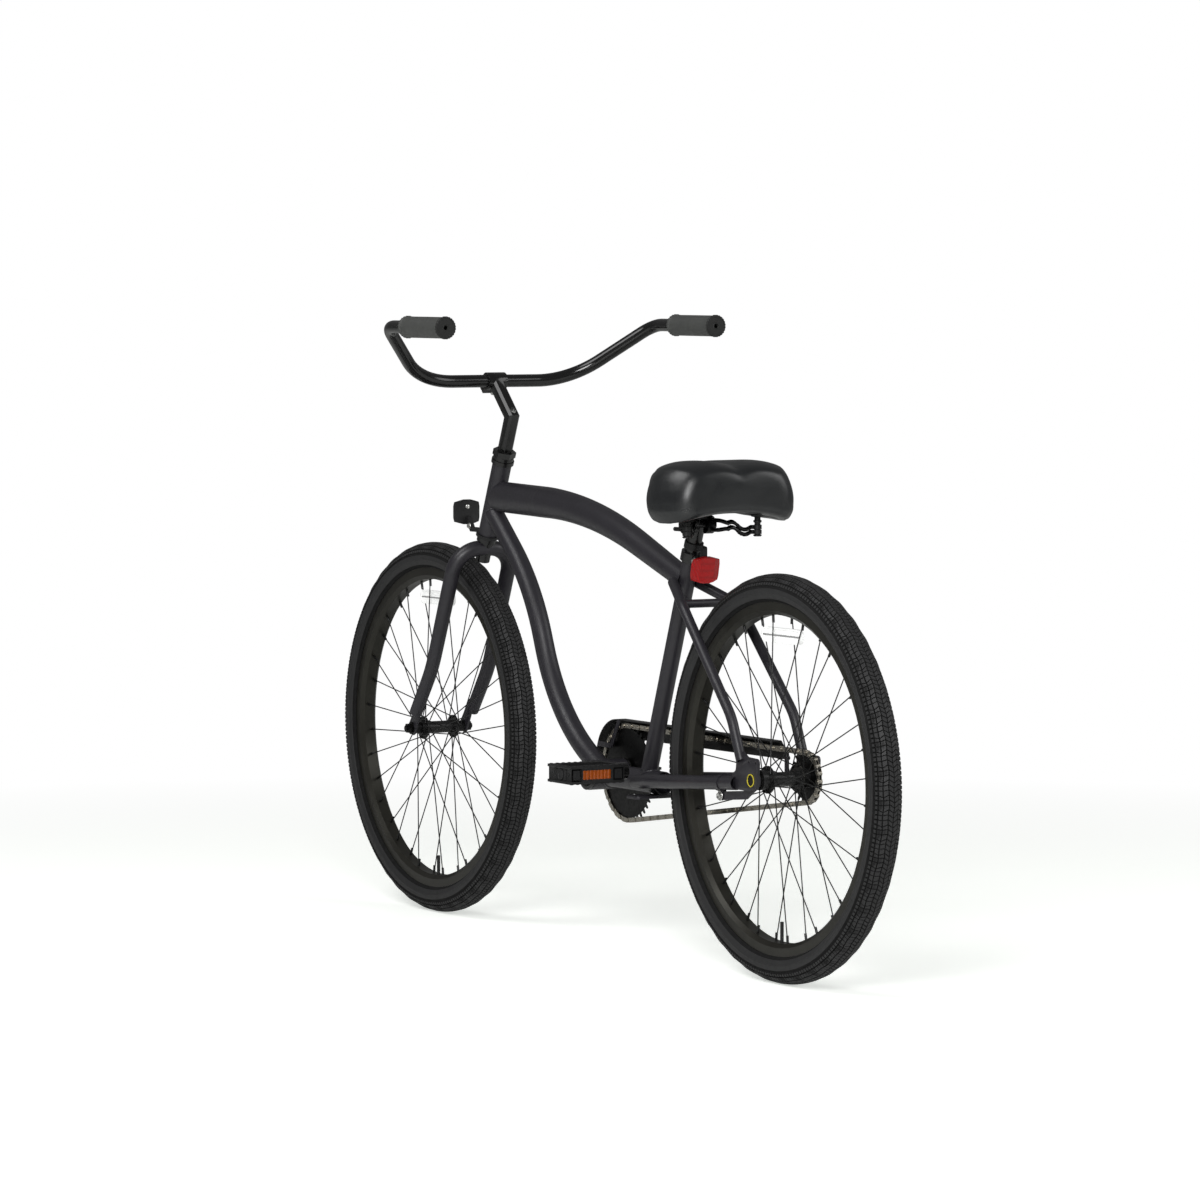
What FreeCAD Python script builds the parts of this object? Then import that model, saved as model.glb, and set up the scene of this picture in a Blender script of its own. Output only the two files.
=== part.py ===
import FreeCAD
import Part
import Sketcher
import math
import os
import re
from types import SimpleNamespace

# Beach cruiser bicycle. X points ahead, Y to the rider's left and Z up.
# The origin lies on the ground, midway between the two wheel axles.

# Driving sizes in millimetres, angles in degrees
SIZES = {
    # Clearances
    "weld_gap": 0.1,
    "press_gap": 0.02,
    "running_gap": 0.05,
    "open_gap": 0.4,
    "overrun": 6.0,
    # Tyres, tubes and rims
    "wheelbase": 1168.6,
    "tyre_radius": 332.5,
    "tyre_width": 53.4,
    "tyre_wall": 3.0,
    "tyre_bead": 3.0,
    "tyre_lip": 2.5,
    "inner_tube_radius": 20.0,
    "inner_tube_lift": 2.5,
    "inner_tube_wall": 1.4,
    "valve_radius": 3.0,
    "valve_length": 34.0,
    "tyre_height": 45.5,
    "rim_flange_radius": "=tyre_radius - tyre_height",
    "rim_wall_height": 14.0,
    "rim_shoulder_radius": "=rim_flange_radius - rim_wall_height",
    "rim_bead_depth": 7.0,
    "rim_seat_radius": "=rim_flange_radius - rim_bead_depth",
    "rim_well_depth": 4.5,
    "rim_well_radius": "=rim_seat_radius - rim_well_depth",
    "rim_depth": 21.0,
    "rim_inner_radius": "=rim_flange_radius - rim_depth",
    "rim_width": 32.0,
    "rim_bed_width": 20.0,
    "rim_well_width": 16.0,
    "rim_wall": 2.5,
    # Spokes and spoke reflectors
    "spoke_count": 36,
    "spoke_radius": 1.0,
    "spoke_cross_angle": 60.0,
    "spoke_rim_offset": 3.5,
    "spoke_flare": 1.1,
    "nipple_radius": 2.2,
    "nipple_length": 13.0,
    "spoke_reflector_radius": 232.0,
    "spoke_reflector_length": 118.0,
    "spoke_reflector_height": 24.0,
    "spoke_reflector_thickness": 8.6,
    # Front hub and axle
    "front_hub_half": 37.0,
    "front_hub_end_radius": 13.5,
    "front_hub_bore": 9.0,
    "front_barrel_radius": 10.8,
    "front_flange_offset": 30.0,
    "front_flange_radius": 20.5,
    "flange_thickness": 3.0,
    "flange_edge": 3.0,
    "front_axle_radius": 4.75,
    "front_lock_half": 50.0,
    "front_cone_radius": 10.0,
    "front_nut_radius": 9.0,
    "front_nut_height": 8.0,
    "front_washer_radius": 11.0,
    "front_washer_thickness": 1.6,
    "axle_end_length": 3.0,
    # Rear hub, driver and brake
    "rear_hub_left": 44.0,
    "rear_hub_right": 33.0,
    "rear_hub_left_radius": 16.5,
    "rear_hub_right_radius": 15.0,
    "rear_hub_bore": 9.2,
    "rear_barrel_radius": 11.4,
    "rear_flange_offset": 28.0,
    "rear_flange_radius": 22.5,
    "rear_axle_radius": 5.0,
    "rear_lock_half": 55.0,
    "rear_cone_radius": 10.0,
    "rear_nut_radius": 8.0,
    "hub_ball_radius": 1.6,
    "driver_radius": 13.5,
    "driver_shoulder_radius": 16.0,
    "driver_width": 16.0,
    "brake_shoe_length": 30.0,
    "brake_shoe_wall": 2.6,
    "brake_arm_thickness": 4.2,
    "brake_arm_eye_radius": 16.0,
    "brake_arm_half_width": 7.0,
    "brake_arm_reach": 100.0,
    "brake_arm_drop": 33.0,
    "brake_arm_knee": 26.0,
    "brake_clip_width": 14.0,
    "brake_clip_thickness": 1.5,
    "brake_bolt_radius": 3.0,
    "brake_bolt_head_radius": 5.0,
    "brake_bolt_head_height": 3.5,
    # Chain drive
    "chain_pitch": 12.7,
    "chain_links": 120,
    "chainring_teeth": 40,
    "sprocket_teeth": 20,
    "chain_line": 45.0,
    "roller_radius": 3.9,
    "roller_half_width": 1.75,
    "pin_radius": 1.8,
    "link_plate": 1.0,
    "link_plate_radius": 4.1,
    "link_side_gap": 0.4,
    "pin_head": 0.5,
    "tooth_rise": 3.6,
    "tooth_tip_half": 0.9,
    "sprocket_thickness": 2.4,
    "chainring_hole_radius": 5.2,
    "chainring_hole_offset": 44.0,
    "chainring_hole_angle": 243.0,
    "drive_pin_radius": 4.8,
    # Bottom bracket, crank and pedals
    "bb_height": 295.0,
    "bb_shell_radius": 25.5,
    "bb_shell_bore": 23.0,
    "bb_shell_width": 68.0,
    "bb_cup_bore": 19.0,
    "bb_cup_radius": 25.0,
    "bb_cup_depth": 9.0,
    "bb_cup_lip": 5.0,
    "bb_ball_radius": 3.0,
    "crank_cone_radius": 12.2,
    "crank_cone_depth": 10.0,
    "crank_cap_radius": 18.0,
    "crank_cap_width": 2.4,
    "crank_nut_radius": 16.0,
    "crank_nut_width": 3.6,
    "crank_length": 170.0,
    "crank_tilt": 7.4,
    "crank_bar_radius": 9.5,
    "crank_bend_radius": 24.0,
    "crank_offset": 70.0,
    "crank_eye_radius": 14.5,
    "pedal_thread_radius": 6.3,
    "pedal_collar_radius": 9.0,
    "pedal_collar_width": 4.0,
    "pedal_shaft_radius": 4.5,
    "pedal_width": 104.0,
    "pedal_length": 76.0,
    "pedal_height": 30.0,
    "pedal_blade": 15.0,
    "pedal_end_wall": 9.0,
    "pedal_barrel_radius": 10.5,
    "pedal_reflector_width": 54.0,
    "pedal_reflector_height": 15.0,
    "pedal_reflector_depth": 3.0,
    # Head, steerer and fork
    "head_angle": 67.34,
    "fork_offset": 34.0,
    "fork_length": 385.0,
    "lower_stack": 14.0,
    "head_tube_length": 137.0,
    "head_tube_radius": 17.0,
    "head_tube_bore": 15.0,
    "upper_stack": 24.0,
    "cup_radius": 20.0,
    "cup_lip": 7.0,
    "cup_depth": 9.0,
    "cup_bore": 13.4,
    "cup_cavity_radius": 17.2,
    "lower_cup_radius": 18.5,
    "lower_cup_lip": 6.0,
    "headset_ball_radius": 1.7,
    "race_radius": 18.5,
    "race_height": 6.6,
    "crown_race_radius": 17.5,
    "locknut_radius": 20.5,
    "steerer_radius": 12.7,
    "steerer_foot": 38.0,
    "crown_drop": 14.2,
    "blade_radius": 13.8,
    "blade_tip_radius": 11.5,
    "blade_wall": 1.8,
    "blade_spread": 55.5,
    "blade_tip_spread": 57.5,
    "blade_rake_rise": 135.0,
    "blade_rake_bend": 220.0,
    "blade_tip_rise": 35.0,
    "blade_tip_ahead": 25.0,
    "crown_bend_radius": 46.0,
    "fork_end_thickness": 4.5,
    "fork_end_radius": 13.0,
    "fork_end_tang_radius": 8.5,
    "fork_end_tang_rise": 50.0,
    # Stem, handlebar and grips
    "quill_radius": 11.1,
    "quill_depth": 90.0,
    "quill_bore": 4.6,
    "stem_lift": 2.0,
    "stem_knee_rise": 65.0,
    "stem_arm_rise": 33.0,
    "stem_reach": 79.4,
    "stem_half_width": 10.6,
    "stem_half_depth": 11.6,
    "stem_chamfer": 4.0,
    "clamp_radius": 15.2,
    "clamp_half_width": 18.0,
    "clamp_ear_length": 24.0,
    "clamp_ear_depth": 13.0,
    "clamp_slit": 1.6,
    "clamp_bolt_radius": 3.5,
    "clamp_bolt_head": 5.2,
    "clamp_bolt_head_height": 5.0,
    "stem_bolt_radius": 4.0,
    "stem_bolt_head_radius": 6.0,
    "stem_bolt_head_height": 6.0,
    "wedge_height": 26.0,
    "bar_radius": 11.1,
    "bar_wall": 1.8,
    "bar_centre_half": 150.0,
    "bar_half_width": 266.0,
    "bar_rise": 98.0,
    "bar_corner_sweep": 99.0,
    "bar_end_sweep": 307.0,
    "bar_low_bend": 138.0,
    "bar_high_bend": 50.0,
    "grip_radius": 18.2,
    "grip_length": 138.0,
    "grip_flange_radius": 19.4,
    "grip_flange_width": 6.0,
    "grip_cap": 4.0,
    "grip_edge": 3.0,
    "grip_hole_radius": 3.0,
    # Frame tubes
    "tube_wall": 1.6,
    "top_tube_radius": 27.0,
    "top_tube_end_radius": 18.5,
    "top_tube_drop": 64.0,
    "top_tube_bend_run": 345.0,
    "top_tube_bend_drop": 8.0,
    "top_tube_bend_radius": 1030.0,
    "top_tube_seat_drop": 52.0,
    "down_tube_radius": 16.2,
    "down_tube_foot_radius": 18.0,
    "down_tube_rise": 46.0,
    "down_tube_bend_run": 143.0,
    "down_tube_bend_drop": 127.0,
    "down_tube_upper_bend": 390.0,
    "down_tube_foot_run": 163.0,
    "down_tube_foot_rise": 88.0,
    "down_tube_lower_bend": 345.0,
    "seat_angle": 69.6,
    "seat_tube_radius": 14.3,
    "seat_tube_length": 419.0,
    "seat_tube_setback": 140.0,
    "bottom_tube_radius": 19.5,
    "bottom_tube_length": 194.0,
    "chainstay_radius": 11.5,
    "chainstay_front_run": 150.0,
    "chainstay_front_spread": 28.0,
    "chainstay_knee_run": 340.0,
    "chainstay_knee_spread": 44.5,
    "chainstay_knee_drop": 29.0,
    "chainstay_knee_bend": 150.0,
    "chainstay_end_run": 48.0,
    "chainstay_end_drop": 8.0,
    "stay_radius": 8.5,
    "stay_top_drop": 58.0,
    "stay_top_ahead": 7.0,
    "stay_top_spread": 21.5,
    "stay_bend_run": 222.0,
    "stay_bend_rise": 268.0,
    "stay_bend_spread": 54.0,
    "stay_bend_radius": 60.0,
    "stay_foot_run": 60.0,
    "stay_foot_rise": 98.0,
    "stay_foot_spread": 59.5,
    "stay_foot_radius": 95.0,
    "stay_end_run": 30.0,
    "stay_end_rise": 30.0,
    "bridge_radius": 7.0,
    "dropout_thickness": 5.0,
    "dropout_length": 80.0,
    "dropout_height": 66.0,
    "dropout_corner": 7.0,
    "dropout_hole_radius": 9.8,
    "eyelet_radius": 2.1,
    "eyelet_rise": 29.0,
    "eyelet_ahead": 6.0,
    "eyelet_spacing": 21.0,
    "kickstand_plate_width": 112.0,
    "kickstand_plate_length": 38.0,
    "kickstand_plate_thickness": 5.0,
    "kickstand_plate_corner": 8.0,
    "kickstand_hole_radius": 5.25,
    "kickstand_plate_run": 180.0,
    # Chain guard
    "guard_thickness": 1.5,
    "guard_depth": 20.0,
    "guard_outer": 57.0,
    "guard_ahead": 97.0,
    "guard_rise": 90.5,
    "guard_nose_rise": 12.0,
    "guard_nose_radius": 70.0,
    "guard_end_run": 62.0,
    "guard_end_slant": 32.0,
    "guard_end_height": 30.0,
    "guard_waist_height": 33.0,
    "guard_bracket_half_width": 4.5,
    "guard_bracket_ahead": 46.0,
    "guard_bracket_rise": 44.0,
    "guard_arm_back": 27.0,
    "guard_rod_radius": 4.0,
    "guard_rod_drop": 9.0,
    "guard_strap_width": 12.0,
    "guard_screw_radius": 4.0,
    "guard_screw_height": 2.5,
    # Seat post, saddle and rear reflector
    "post_wall": 2.0,
    "post_depth": 150.0,
    "post_rise": 48.0,
    "post_lug_radius": 9.0,
    "post_lug_half": 12.0,
    "collar_radius": 18.0,
    "collar_height": 16.0,
    "collar_ear": 11.0,
    "collar_ear_half": 7.0,
    "collar_slit": 2.0,
    "collar_bolt_radius": 2.6,
    "collar_bolt_head": 4.2,
    "saddle_bolt_radius": 4.0,
    "cheek_radius": 15.0,
    "cheek_inner": 12.5,
    "cheek_outer": 27.0,
    "saddle_bolt_head": 6.5,
    "saddle_bolt_head_height": 5.0,
    "rail_radius": 3.5,
    "rail_spread": 21.0,
    "rail_lift": 8.0,
    "rail_flat_half": 38.0,
    "rail_bend": 14.0,
    "rail_front_run": 105.0,
    "rail_front_spread": 9.0,
    "rail_end_drop": 2.0,
    "rail_pair_gap": 8.0,
    "rail_low_flat": 30.5,
    "rail_crest_run": 46.0,
    "rail_wave_run": 58.0,
    "rail_wave_spread": 44.0,
    "rail_wave_rise": 3.0,
    "bumper_run": 78.0,
    "bumper_spread": 68.0,
    "bumper_radius": 5.0,
    "bumper_cap_radius": 7.0,
    "bumper_cap": 4.0,
    "saddle_length": 270.0,
    "saddle_half_width": 127.0,
    "saddle_height": 102.5,
    "saddle_rear_run": 140.0,
    "saddle_base_lift": 24.0,
    "saddle_base_thickness": 3.0,
    "saddle_skirt": 17.0,
    "reflector_width": 53.0,
    "reflector_height": 44.0,
    "reflector_depth": 9.0,
    "reflector_corner": 7.0,
    "rear_band_lift": 12.0,
    "rear_band_height": 11.0,
    "rear_band_radius": 16.0,
    "rear_reflector_run": 37.0,
    "rear_reflector_drop": 39.0,
    "bracket_arm_half": 4.0,
    "front_band_radius": 20.6,
    "front_band_height": 5.0,
    "front_reflector_ahead": 73.0,
    "front_reflector_rise": 38.0,
}

# Shares of the length and height that shape the dropout plate, ahead of and above the axle
DROPOUT_SHARES = [
    (0.72, -0.27), (0.12, -0.27), (-0.21, -0.22), (-0.25, 0.12),
    (-0.27, 0.54), (0.16, 0.56), (0.36, 0.70), (0.54, 0.60), (0.58, 0.20), (0.72, 0.10),
]
# Saddle sections from tail to nose as shares: place along it, half width, top, valley, skirt, arch
SADDLE_SHARES = [
    (0.00, 0.62, 0.80, 0.76, 0.22, 0.26),
    (0.05, 0.84, 0.93, 0.88, 0.05, 0.18),
    (0.14, 0.94, 0.99, 0.92, 0.00, 0.15),
    (0.29, 1.00, 1.00, 0.91, 0.00, 0.15),
    (0.46, 0.82, 0.97, 0.89, 0.05, 0.17),
    (0.63, 0.50, 0.92, 0.87, 0.14, 0.21),
    (0.80, 0.29, 0.86, 0.84, 0.20, 0.25),
    (0.94, 0.22, 0.79, 0.78, 0.27, 0.29),
    (1.00, 0.14, 0.72, 0.71, 0.34, 0.36),
]
SADDLE_SHOULDER_SHARE = 0.83
SADDLE_SHOULDER_DROP_SHARE = 0.09
SADDLE_LOBE_SHARE = 0.45
SADDLE_SKIRT_SHARE = 0.86
SADDLE_WIDEST_SHARE = 0.52
# Place of the stays' bridge as a share of the run from their top to their bend
BRIDGE_SHARE = 0.88
# Saddle base outline as shares of saddle length and half width
SADDLE_BASE_SHARES = [(0.13, 0.68), (0.34, 0.68), (0.62, 0.24), (0.90, 0.10)]

doc = FreeCAD.newDocument("cruiser")
sheet = doc.addObject("Spreadsheet::Sheet", "Sizes")
for row, (alias, number) in enumerate(SIZES.items(), 1):
    sheet.set(f"A{row}", alias)
    sheet.set(f"B{row}", str(number))
    sheet.setAlias(f"B{row}", alias)
doc.recompute()
S = SimpleNamespace(**{alias: float(sheet.get(alias)) for alias in SIZES})

Vector = FreeCAD.Vector
AHEAD = Vector(1, 0, 0)
LEFT = Vector(0, 1, 0)
UP = Vector(0, 0, 1)
nodes = {}


def size(text):
    """Value of a sum of products of named cells, such as rim_width / 2 - rim_wall."""
    total = 0
    for sign, term in re.findall(r"([+-]?)\s*([^+-]+)", text):
        amount = 1
        for operator, word in re.findall(r"([*/]?)\s*([\w.]+)", term):
            number = getattr(S, word) if word in SIZES else float(word)
            amount = amount / number if operator == "/" else amount * number
        total += -amount if sign == "-" else amount
    return total


def cells(text):
    """The same sum as an expression on the sheet."""
    return re.sub(r"[a-z]\w*", lambda word: "Sizes." + word.group(0), text)


def turn_to(direction, start=UP):
    return FreeCAD.Rotation(start, direction)


def primitive(kind, name, at, along=UP, **sizes):
    """A Part primitive bound to the sheet, with its own Z axis turned along a direction."""
    item = doc.addObject("Part::" + kind, name)
    for prop, text in sizes.items():
        item.setExpression(prop, cells(text))
    item.Placement = FreeCAD.Placement(at, turn_to(along))
    return item


def cylinder(name, radius, height, at, along=UP):
    return primitive("Cylinder", name, at, along, Radius=radius, Height=height)


def ring_of_balls(name, major, minor, at, along):
    return primitive("Torus", name, at, along, Radius1=major, Radius2=minor)


def cut(name, base, tool):
    item = doc.addObject("Part::Cut", name)
    item.Base = base
    item.Tool = tool
    return item


def fuse(name, *items):
    item = doc.addObject("Part::MultiFuse", name)
    item.Shapes = list(items)
    return item


def group(name, *items):
    item = doc.addObject("Part::Compound", name)
    item.Links = list(items)
    return item


def hexagon(name, across, hole, height, at, along):
    """A hexagon nut round a shaft."""
    block = primitive("Prism", name + "_block", at, along, Circumradius=across, Height=height)
    block.Polygon = 6
    return cut(name, block, cylinder(name + "_hole", hole, height, at, along))


def outline_sketch(body, corners):
    """A closed outline of lines on a body's XY plane, each corner bound to the sheet."""
    sketch = body.newObject("Sketcher::SketchObject", body.Name + "_outline")
    plane = [item for item in body.Origin.OriginFeatures if item.Role == "XY_Plane"][0]
    sketch.AttachmentSupport = [(plane, "")]
    sketch.MapMode = "FlatFace"
    places = [Vector(size(across), size(along), 0) for across, along in corners]
    count = len(corners)
    for i in range(count):
        sketch.addGeometry(Part.LineSegment(places[i], places[(i + 1) % count]), False)
    for i in range(count):
        sketch.addConstraint(Sketcher.Constraint("Coincident", i, 2, (i + 1) % count, 1))
    for i, corner in enumerate(corners):
        for kind, text in zip(("DistanceX", "DistanceY"), corner):
            index = sketch.addConstraint(Sketcher.Constraint(kind, -1, 1, i, 1, size(text)))
            sketch.setExpression(f"Constraints[{index}]", cells(text))
    return sketch


def turned(name, corners, at, along=LEFT):
    """A body turned about an axis, from corners given as radius and place along the axis."""
    body = doc.addObject("PartDesign::Body", name)
    sketch = outline_sketch(body, corners)
    revolution = body.newObject("PartDesign::Revolution", body.Name + "_turn")
    revolution.Profile = sketch
    revolution.ReferenceAxis = (sketch, ["V_Axis"])
    revolution.Angle = 360
    body.Placement = FreeCAD.Placement(at, turn_to(along, LEFT))
    return body


def sleeve(name, inner, outer, start, end, at, along=LEFT):
    corners = [(inner, start), (outer, start), (outer, end), (inner, end)]
    return turned(name, corners, at, along)


def node(name, item):
    """Keep a finished sub-part under its own label."""
    if isinstance(item, Part.Shape):
        shape = item
        item = doc.addObject("Part::Feature", name)
        item.Shape = shape
        item.Placement = FreeCAD.Placement()
    item.Label = name
    nodes[name] = item
    return item


def rounded(points, radii, closed=False):
    """Edges along points, with an arc of the given radius at each inner corner."""
    count = len(points)
    inner = list(range(count)) if closed else list(range(1, count - 1))
    arcs = {}
    for i, radius in zip(inner, radii):
        here = points[i]
        back = (points[i - 1] - here).normalize()
        on = (points[(i + 1) % count] - here).normalize()
        half = back.getAngle(on) / 2
        reach = radius / math.tan(half)
        middle = here + (back + on).normalize() * (radius / math.sin(half) - radius)
        arcs[i] = (here + back * reach, middle, here + on * reach)
    edges = []
    for i in range(count if closed else count - 1):
        after = (i + 1) % count
        start = arcs[i][2] if i in arcs else points[i]
        end = arcs[after][0] if after in arcs else points[after]
        if start.distanceToPoint(end) > S.press_gap:
            edges.append(Part.LineSegment(start, end).toShape())
        if after in arcs and arcs[after][0].distanceToPoint(arcs[after][2]) > S.press_gap:
            edges.append(Part.Arc(*arcs[after]).toShape())
    return edges


def bar(edges, radius, end_radius=None):
    """A round bar swept along edges, tapering evenly if an end radius is given."""
    path = Part.Wire(edges)
    first = edges[0]
    last = edges[-1]
    start = first.valueAt(first.FirstParameter)
    heading = first.tangentAt(first.FirstParameter)
    profiles = [Part.Wire(Part.Circle(start, heading, radius).toShape())]
    if end_radius:
        finish = last.valueAt(last.LastParameter)
        final = last.tangentAt(last.LastParameter)
        profiles.append(Part.Wire(Part.Circle(finish, final, end_radius).toShape()))
    return path.makePipeShell(profiles, True, False)


def rod(start, end, radius):
    return Part.makeCylinder(radius, start.distanceToPoint(end), start, end - start)


def plate(points, radii, push):
    """A flat plate with rounded corners, pushed along a vector."""
    return Part.Face(Part.Wire(rounded(points, radii, True))).extrude(push)


def link_plate(start, end, radius, end_radius, push):
    """A plate with round ends about two points."""
    on = (end - start).normalize()
    side = on.cross(push).normalize()
    corners = [start + side * radius, end + side * end_radius, end - side * end_radius,
               start - side * radius]
    tips = [end + on * end_radius, start - on * radius]
    edges = [
        Part.LineSegment(corners[0], corners[1]).toShape(),
        Part.Arc(corners[1], tips[0], corners[2]).toShape(),
        Part.LineSegment(corners[2], corners[3]).toShape(),
        Part.Arc(corners[3], tips[1], corners[0]).toShape(),
    ]
    return Part.Face(Part.Wire(edges)).extrude(push)


def sided(place, side):
    return Vector(place.x, place.y * side, place.z)


def single(shape):
    """The largest solid of a shape that a cut may have left in pieces."""
    return max(shape.Solids, key=lambda solid: solid.Volume)


# Places that many pieces share
def chain_distance():
    """Distance between crank and rear axle at which the chain's links close round both wheels."""
    low = S.wheelbase / 4
    high = S.wheelbase
    for _ in range(60):
        middle = (low + high) / 2
        lean = math.asin((ring_pitch_radius - sprocket_pitch_radius) / middle)
        run = middle * math.cos(lean) / S.chain_pitch
        ring_wrap = (math.pi + 2 * lean) / (2 * math.pi) * S.chainring_teeth
        sprocket_wrap = (math.pi - 2 * lean) / (2 * math.pi) * S.sprocket_teeth
        if 2 * run + ring_wrap + sprocket_wrap > S.chain_links:
            high = middle
        else:
            low = middle
    return middle


ring_pitch_radius = S.chain_pitch / 2 / math.sin(math.pi / S.chainring_teeth)
sprocket_pitch_radius = S.chain_pitch / 2 / math.sin(math.pi / S.sprocket_teeth)
REAR = Vector(-S.wheelbase / 2, 0, S.tyre_radius)
FRONT = Vector(S.wheelbase / 2, 0, S.tyre_radius)
bb_run = math.sqrt(chain_distance() ** 2 - (S.tyre_radius - S.bb_height) ** 2)
BB = Vector(REAR.x + bb_run, 0, S.bb_height)
dip = math.radians(S.crank_tilt)
CRANK_OUT = Vector(math.cos(dip), 0, -math.sin(dip))
lean = math.radians(S.head_angle)
HEAD_UP = Vector(-math.cos(lean), 0, math.sin(lean))
HEAD_OUT = Vector(math.sin(lean), 0, math.cos(lean))
HEAD_FOOT = FRONT - HEAD_OUT * S.fork_offset
tilt = math.radians(S.seat_angle)
SEAT_UP = Vector(-math.cos(tilt), 0, math.sin(tilt))
SEAT_OUT = Vector(math.sin(tilt), 0, math.cos(tilt))
SEAT_BASE = BB - AHEAD * S.seat_tube_setback


def on_head(rise, out=0, left=0):
    return HEAD_FOOT + HEAD_UP * rise + HEAD_OUT * out + LEFT * left


def on_seat(rise, out=0, left=0):
    return SEAT_BASE + SEAT_UP * rise + SEAT_OUT * out + LEFT * left


def from_rear(ahead, left, up):
    return REAR + AHEAD * ahead + LEFT * left + UP * up


head_low = S.fork_length + S.lower_stack
head_top = head_low + S.head_tube_length
steerer_top = head_top + S.upper_stack
seat_top = S.seat_tube_length
dropout_mid = S.rear_lock_half + S.dropout_thickness / 2
STEM_KNEE = on_head(steerer_top + S.stem_knee_rise)
CLAMP = on_head(steerer_top + S.stem_knee_rise + S.stem_arm_rise, S.stem_reach)
SADDLE_PIVOT = on_seat(seat_top + S.post_rise)


# Wheels
def tyre(centre):
    """A tyre turned from a round carcass, two beads and the lips over the rim."""
    half = S.tyre_width / 2
    middle = S.tyre_radius - half
    bead_out = S.rim_width / 2 - S.rim_wall - S.open_gap
    bead_in = bead_out - S.tyre_bead
    foot = S.rim_seat_radius + S.open_gap
    lip = S.rim_flange_radius + S.open_gap
    side = lip + S.tyre_lip
    outer = math.sqrt(half ** 2 - (middle - side) ** 2)
    inner_half = half - S.tyre_wall
    inner = math.sqrt(inner_half ** 2 - (middle - side) ** 2)

    def at(radius, along):
        return centre + AHEAD * radius + LEFT * along

    edges = []
    corners = [(side, inner), (lip, bead_in), (foot, bead_in), (foot, bead_out), (lip, bead_out),
               (side, outer)]
    for turn in (1, -1):
        places = [at(radius, along * turn) for radius, along in corners]
        edges += [Part.LineSegment(a, b).toShape() for a, b in zip(places, places[1:])]
    crown = at(S.tyre_radius, 0)
    roof = at(S.tyre_radius - S.tyre_wall, 0)
    edges.append(Part.Arc(at(side, outer), crown, at(side, -outer)).toShape())
    edges.append(Part.Arc(at(side, inner), roof, at(side, -inner)).toShape())
    profile = Part.Wire(Part.__sortEdges__(edges))
    return Part.Face(profile).revolve(centre, LEFT, 360)


def rim(prefix, centre):
    half = "rim_width / 2"
    inner = "rim_width / 2 - rim_wall"
    upper = [("rim_inner_radius", "rim_bed_width / 2"), ("rim_shoulder_radius", half),
             ("rim_flange_radius", half), ("rim_flange_radius", inner),
             ("rim_seat_radius", inner), ("rim_well_radius", "rim_well_width / 2")]
    lower = [("rim_well_radius", "- rim_well_width / 2"),
             ("rim_seat_radius", "- rim_width / 2 + rim_wall"),
             ("rim_flange_radius", "- rim_width / 2 + rim_wall"),
             ("rim_flange_radius", "- rim_width / 2"), ("rim_shoulder_radius", "- rim_width / 2"),
             ("rim_inner_radius", "- rim_bed_width / 2")]
    hoop = turned(prefix + "_hoop", upper + lower, centre)
    hole = cylinder(prefix + "_valve_hole", "valve_radius + open_gap", "rim_flange_radius",
                    centre, -UP)
    node(prefix + "_rim", cut(prefix + "_rim", hoop, hole))


def inner_tube(prefix, centre):
    loop_radius = "tyre_radius - tyre_width / 2 + inner_tube_lift"
    loop = ring_of_balls(prefix + "_tube_loop", loop_radius, "inner_tube_radius", centre, LEFT)
    air = ring_of_balls(prefix + "_tube_air", loop_radius, "inner_tube_radius - inner_tube_wall",
                        centre, LEFT)
    start = size("rim_inner_radius - valve_length")
    stem = cylinder(prefix + "_valve", "valve_radius",
                    "tyre_radius - tyre_width / 2 - inner_tube_radius + inner_tube_lift"
                    " - rim_inner_radius + valve_length + inner_tube_wall",
                    centre - UP * start, -UP)
    full = fuse(prefix + "_tube_full", loop, stem)
    node(prefix + "_inner_tube", cut(prefix + "_inner_tube", full, air))


def spokes(centre, flange_offset, flange_radius):
    """Spokes laced in three crosses between the flanges and the rim, each with its nipple."""
    count = int(S.spoke_count)
    reach = S.rim_inner_radius - S.press_gap
    hole_radius = flange_radius - S.flange_edge - S.spoke_radius
    beside = S.flange_thickness / 2 + S.spoke_radius + S.weld_gap
    made = []
    for i in range(count):
        side = 1 if i % 2 == 0 else -1
        crossing = 1 if i % 4 < 2 else -1
        angle = 2 * math.pi * (i + 0.5) / count
        hub_angle = angle + crossing * math.radians(S.spoke_cross_angle)
        hub = centre + Vector(hole_radius * math.cos(hub_angle), 0, hole_radius * math.sin(hub_angle))
        flare = S.spoke_flare if crossing == 1 else 0
        hub += LEFT * side * (flange_offset + crossing * beside + flare)
        outward = Vector(math.cos(angle), 0, math.sin(angle))
        end = centre + outward * reach + LEFT * side * S.spoke_rim_offset
        on = (end - hub).normalize()
        wire = rod(hub, end - on * S.nipple_radius, S.spoke_radius)
        nipple = rod(end - outward * S.nipple_length, end, S.nipple_radius)
        made.append(single(wire.fuse(nipple)))
    return Part.makeCompound(made)


def spoke_reflector(centre):
    across = S.spoke_reflector_length / 2 - S.spoke_reflector_height / 2
    middle = centre + UP * S.spoke_reflector_radius - LEFT * S.spoke_reflector_thickness / 2
    return link_plate(middle - AHEAD * across, middle + AHEAD * across, S.spoke_reflector_height / 2,
                      S.spoke_reflector_height / 2, LEFT * S.spoke_reflector_thickness)


def wheel(prefix, centre, flange_offset, flange_radius):
    node(prefix + "_tyre", tyre(centre))
    inner_tube(prefix, centre)
    rim(prefix, centre)
    node(prefix + "_spokes", spokes(centre, flange_offset, flange_radius))
    node(prefix + "_spoke_reflector", spoke_reflector(centre))


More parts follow.
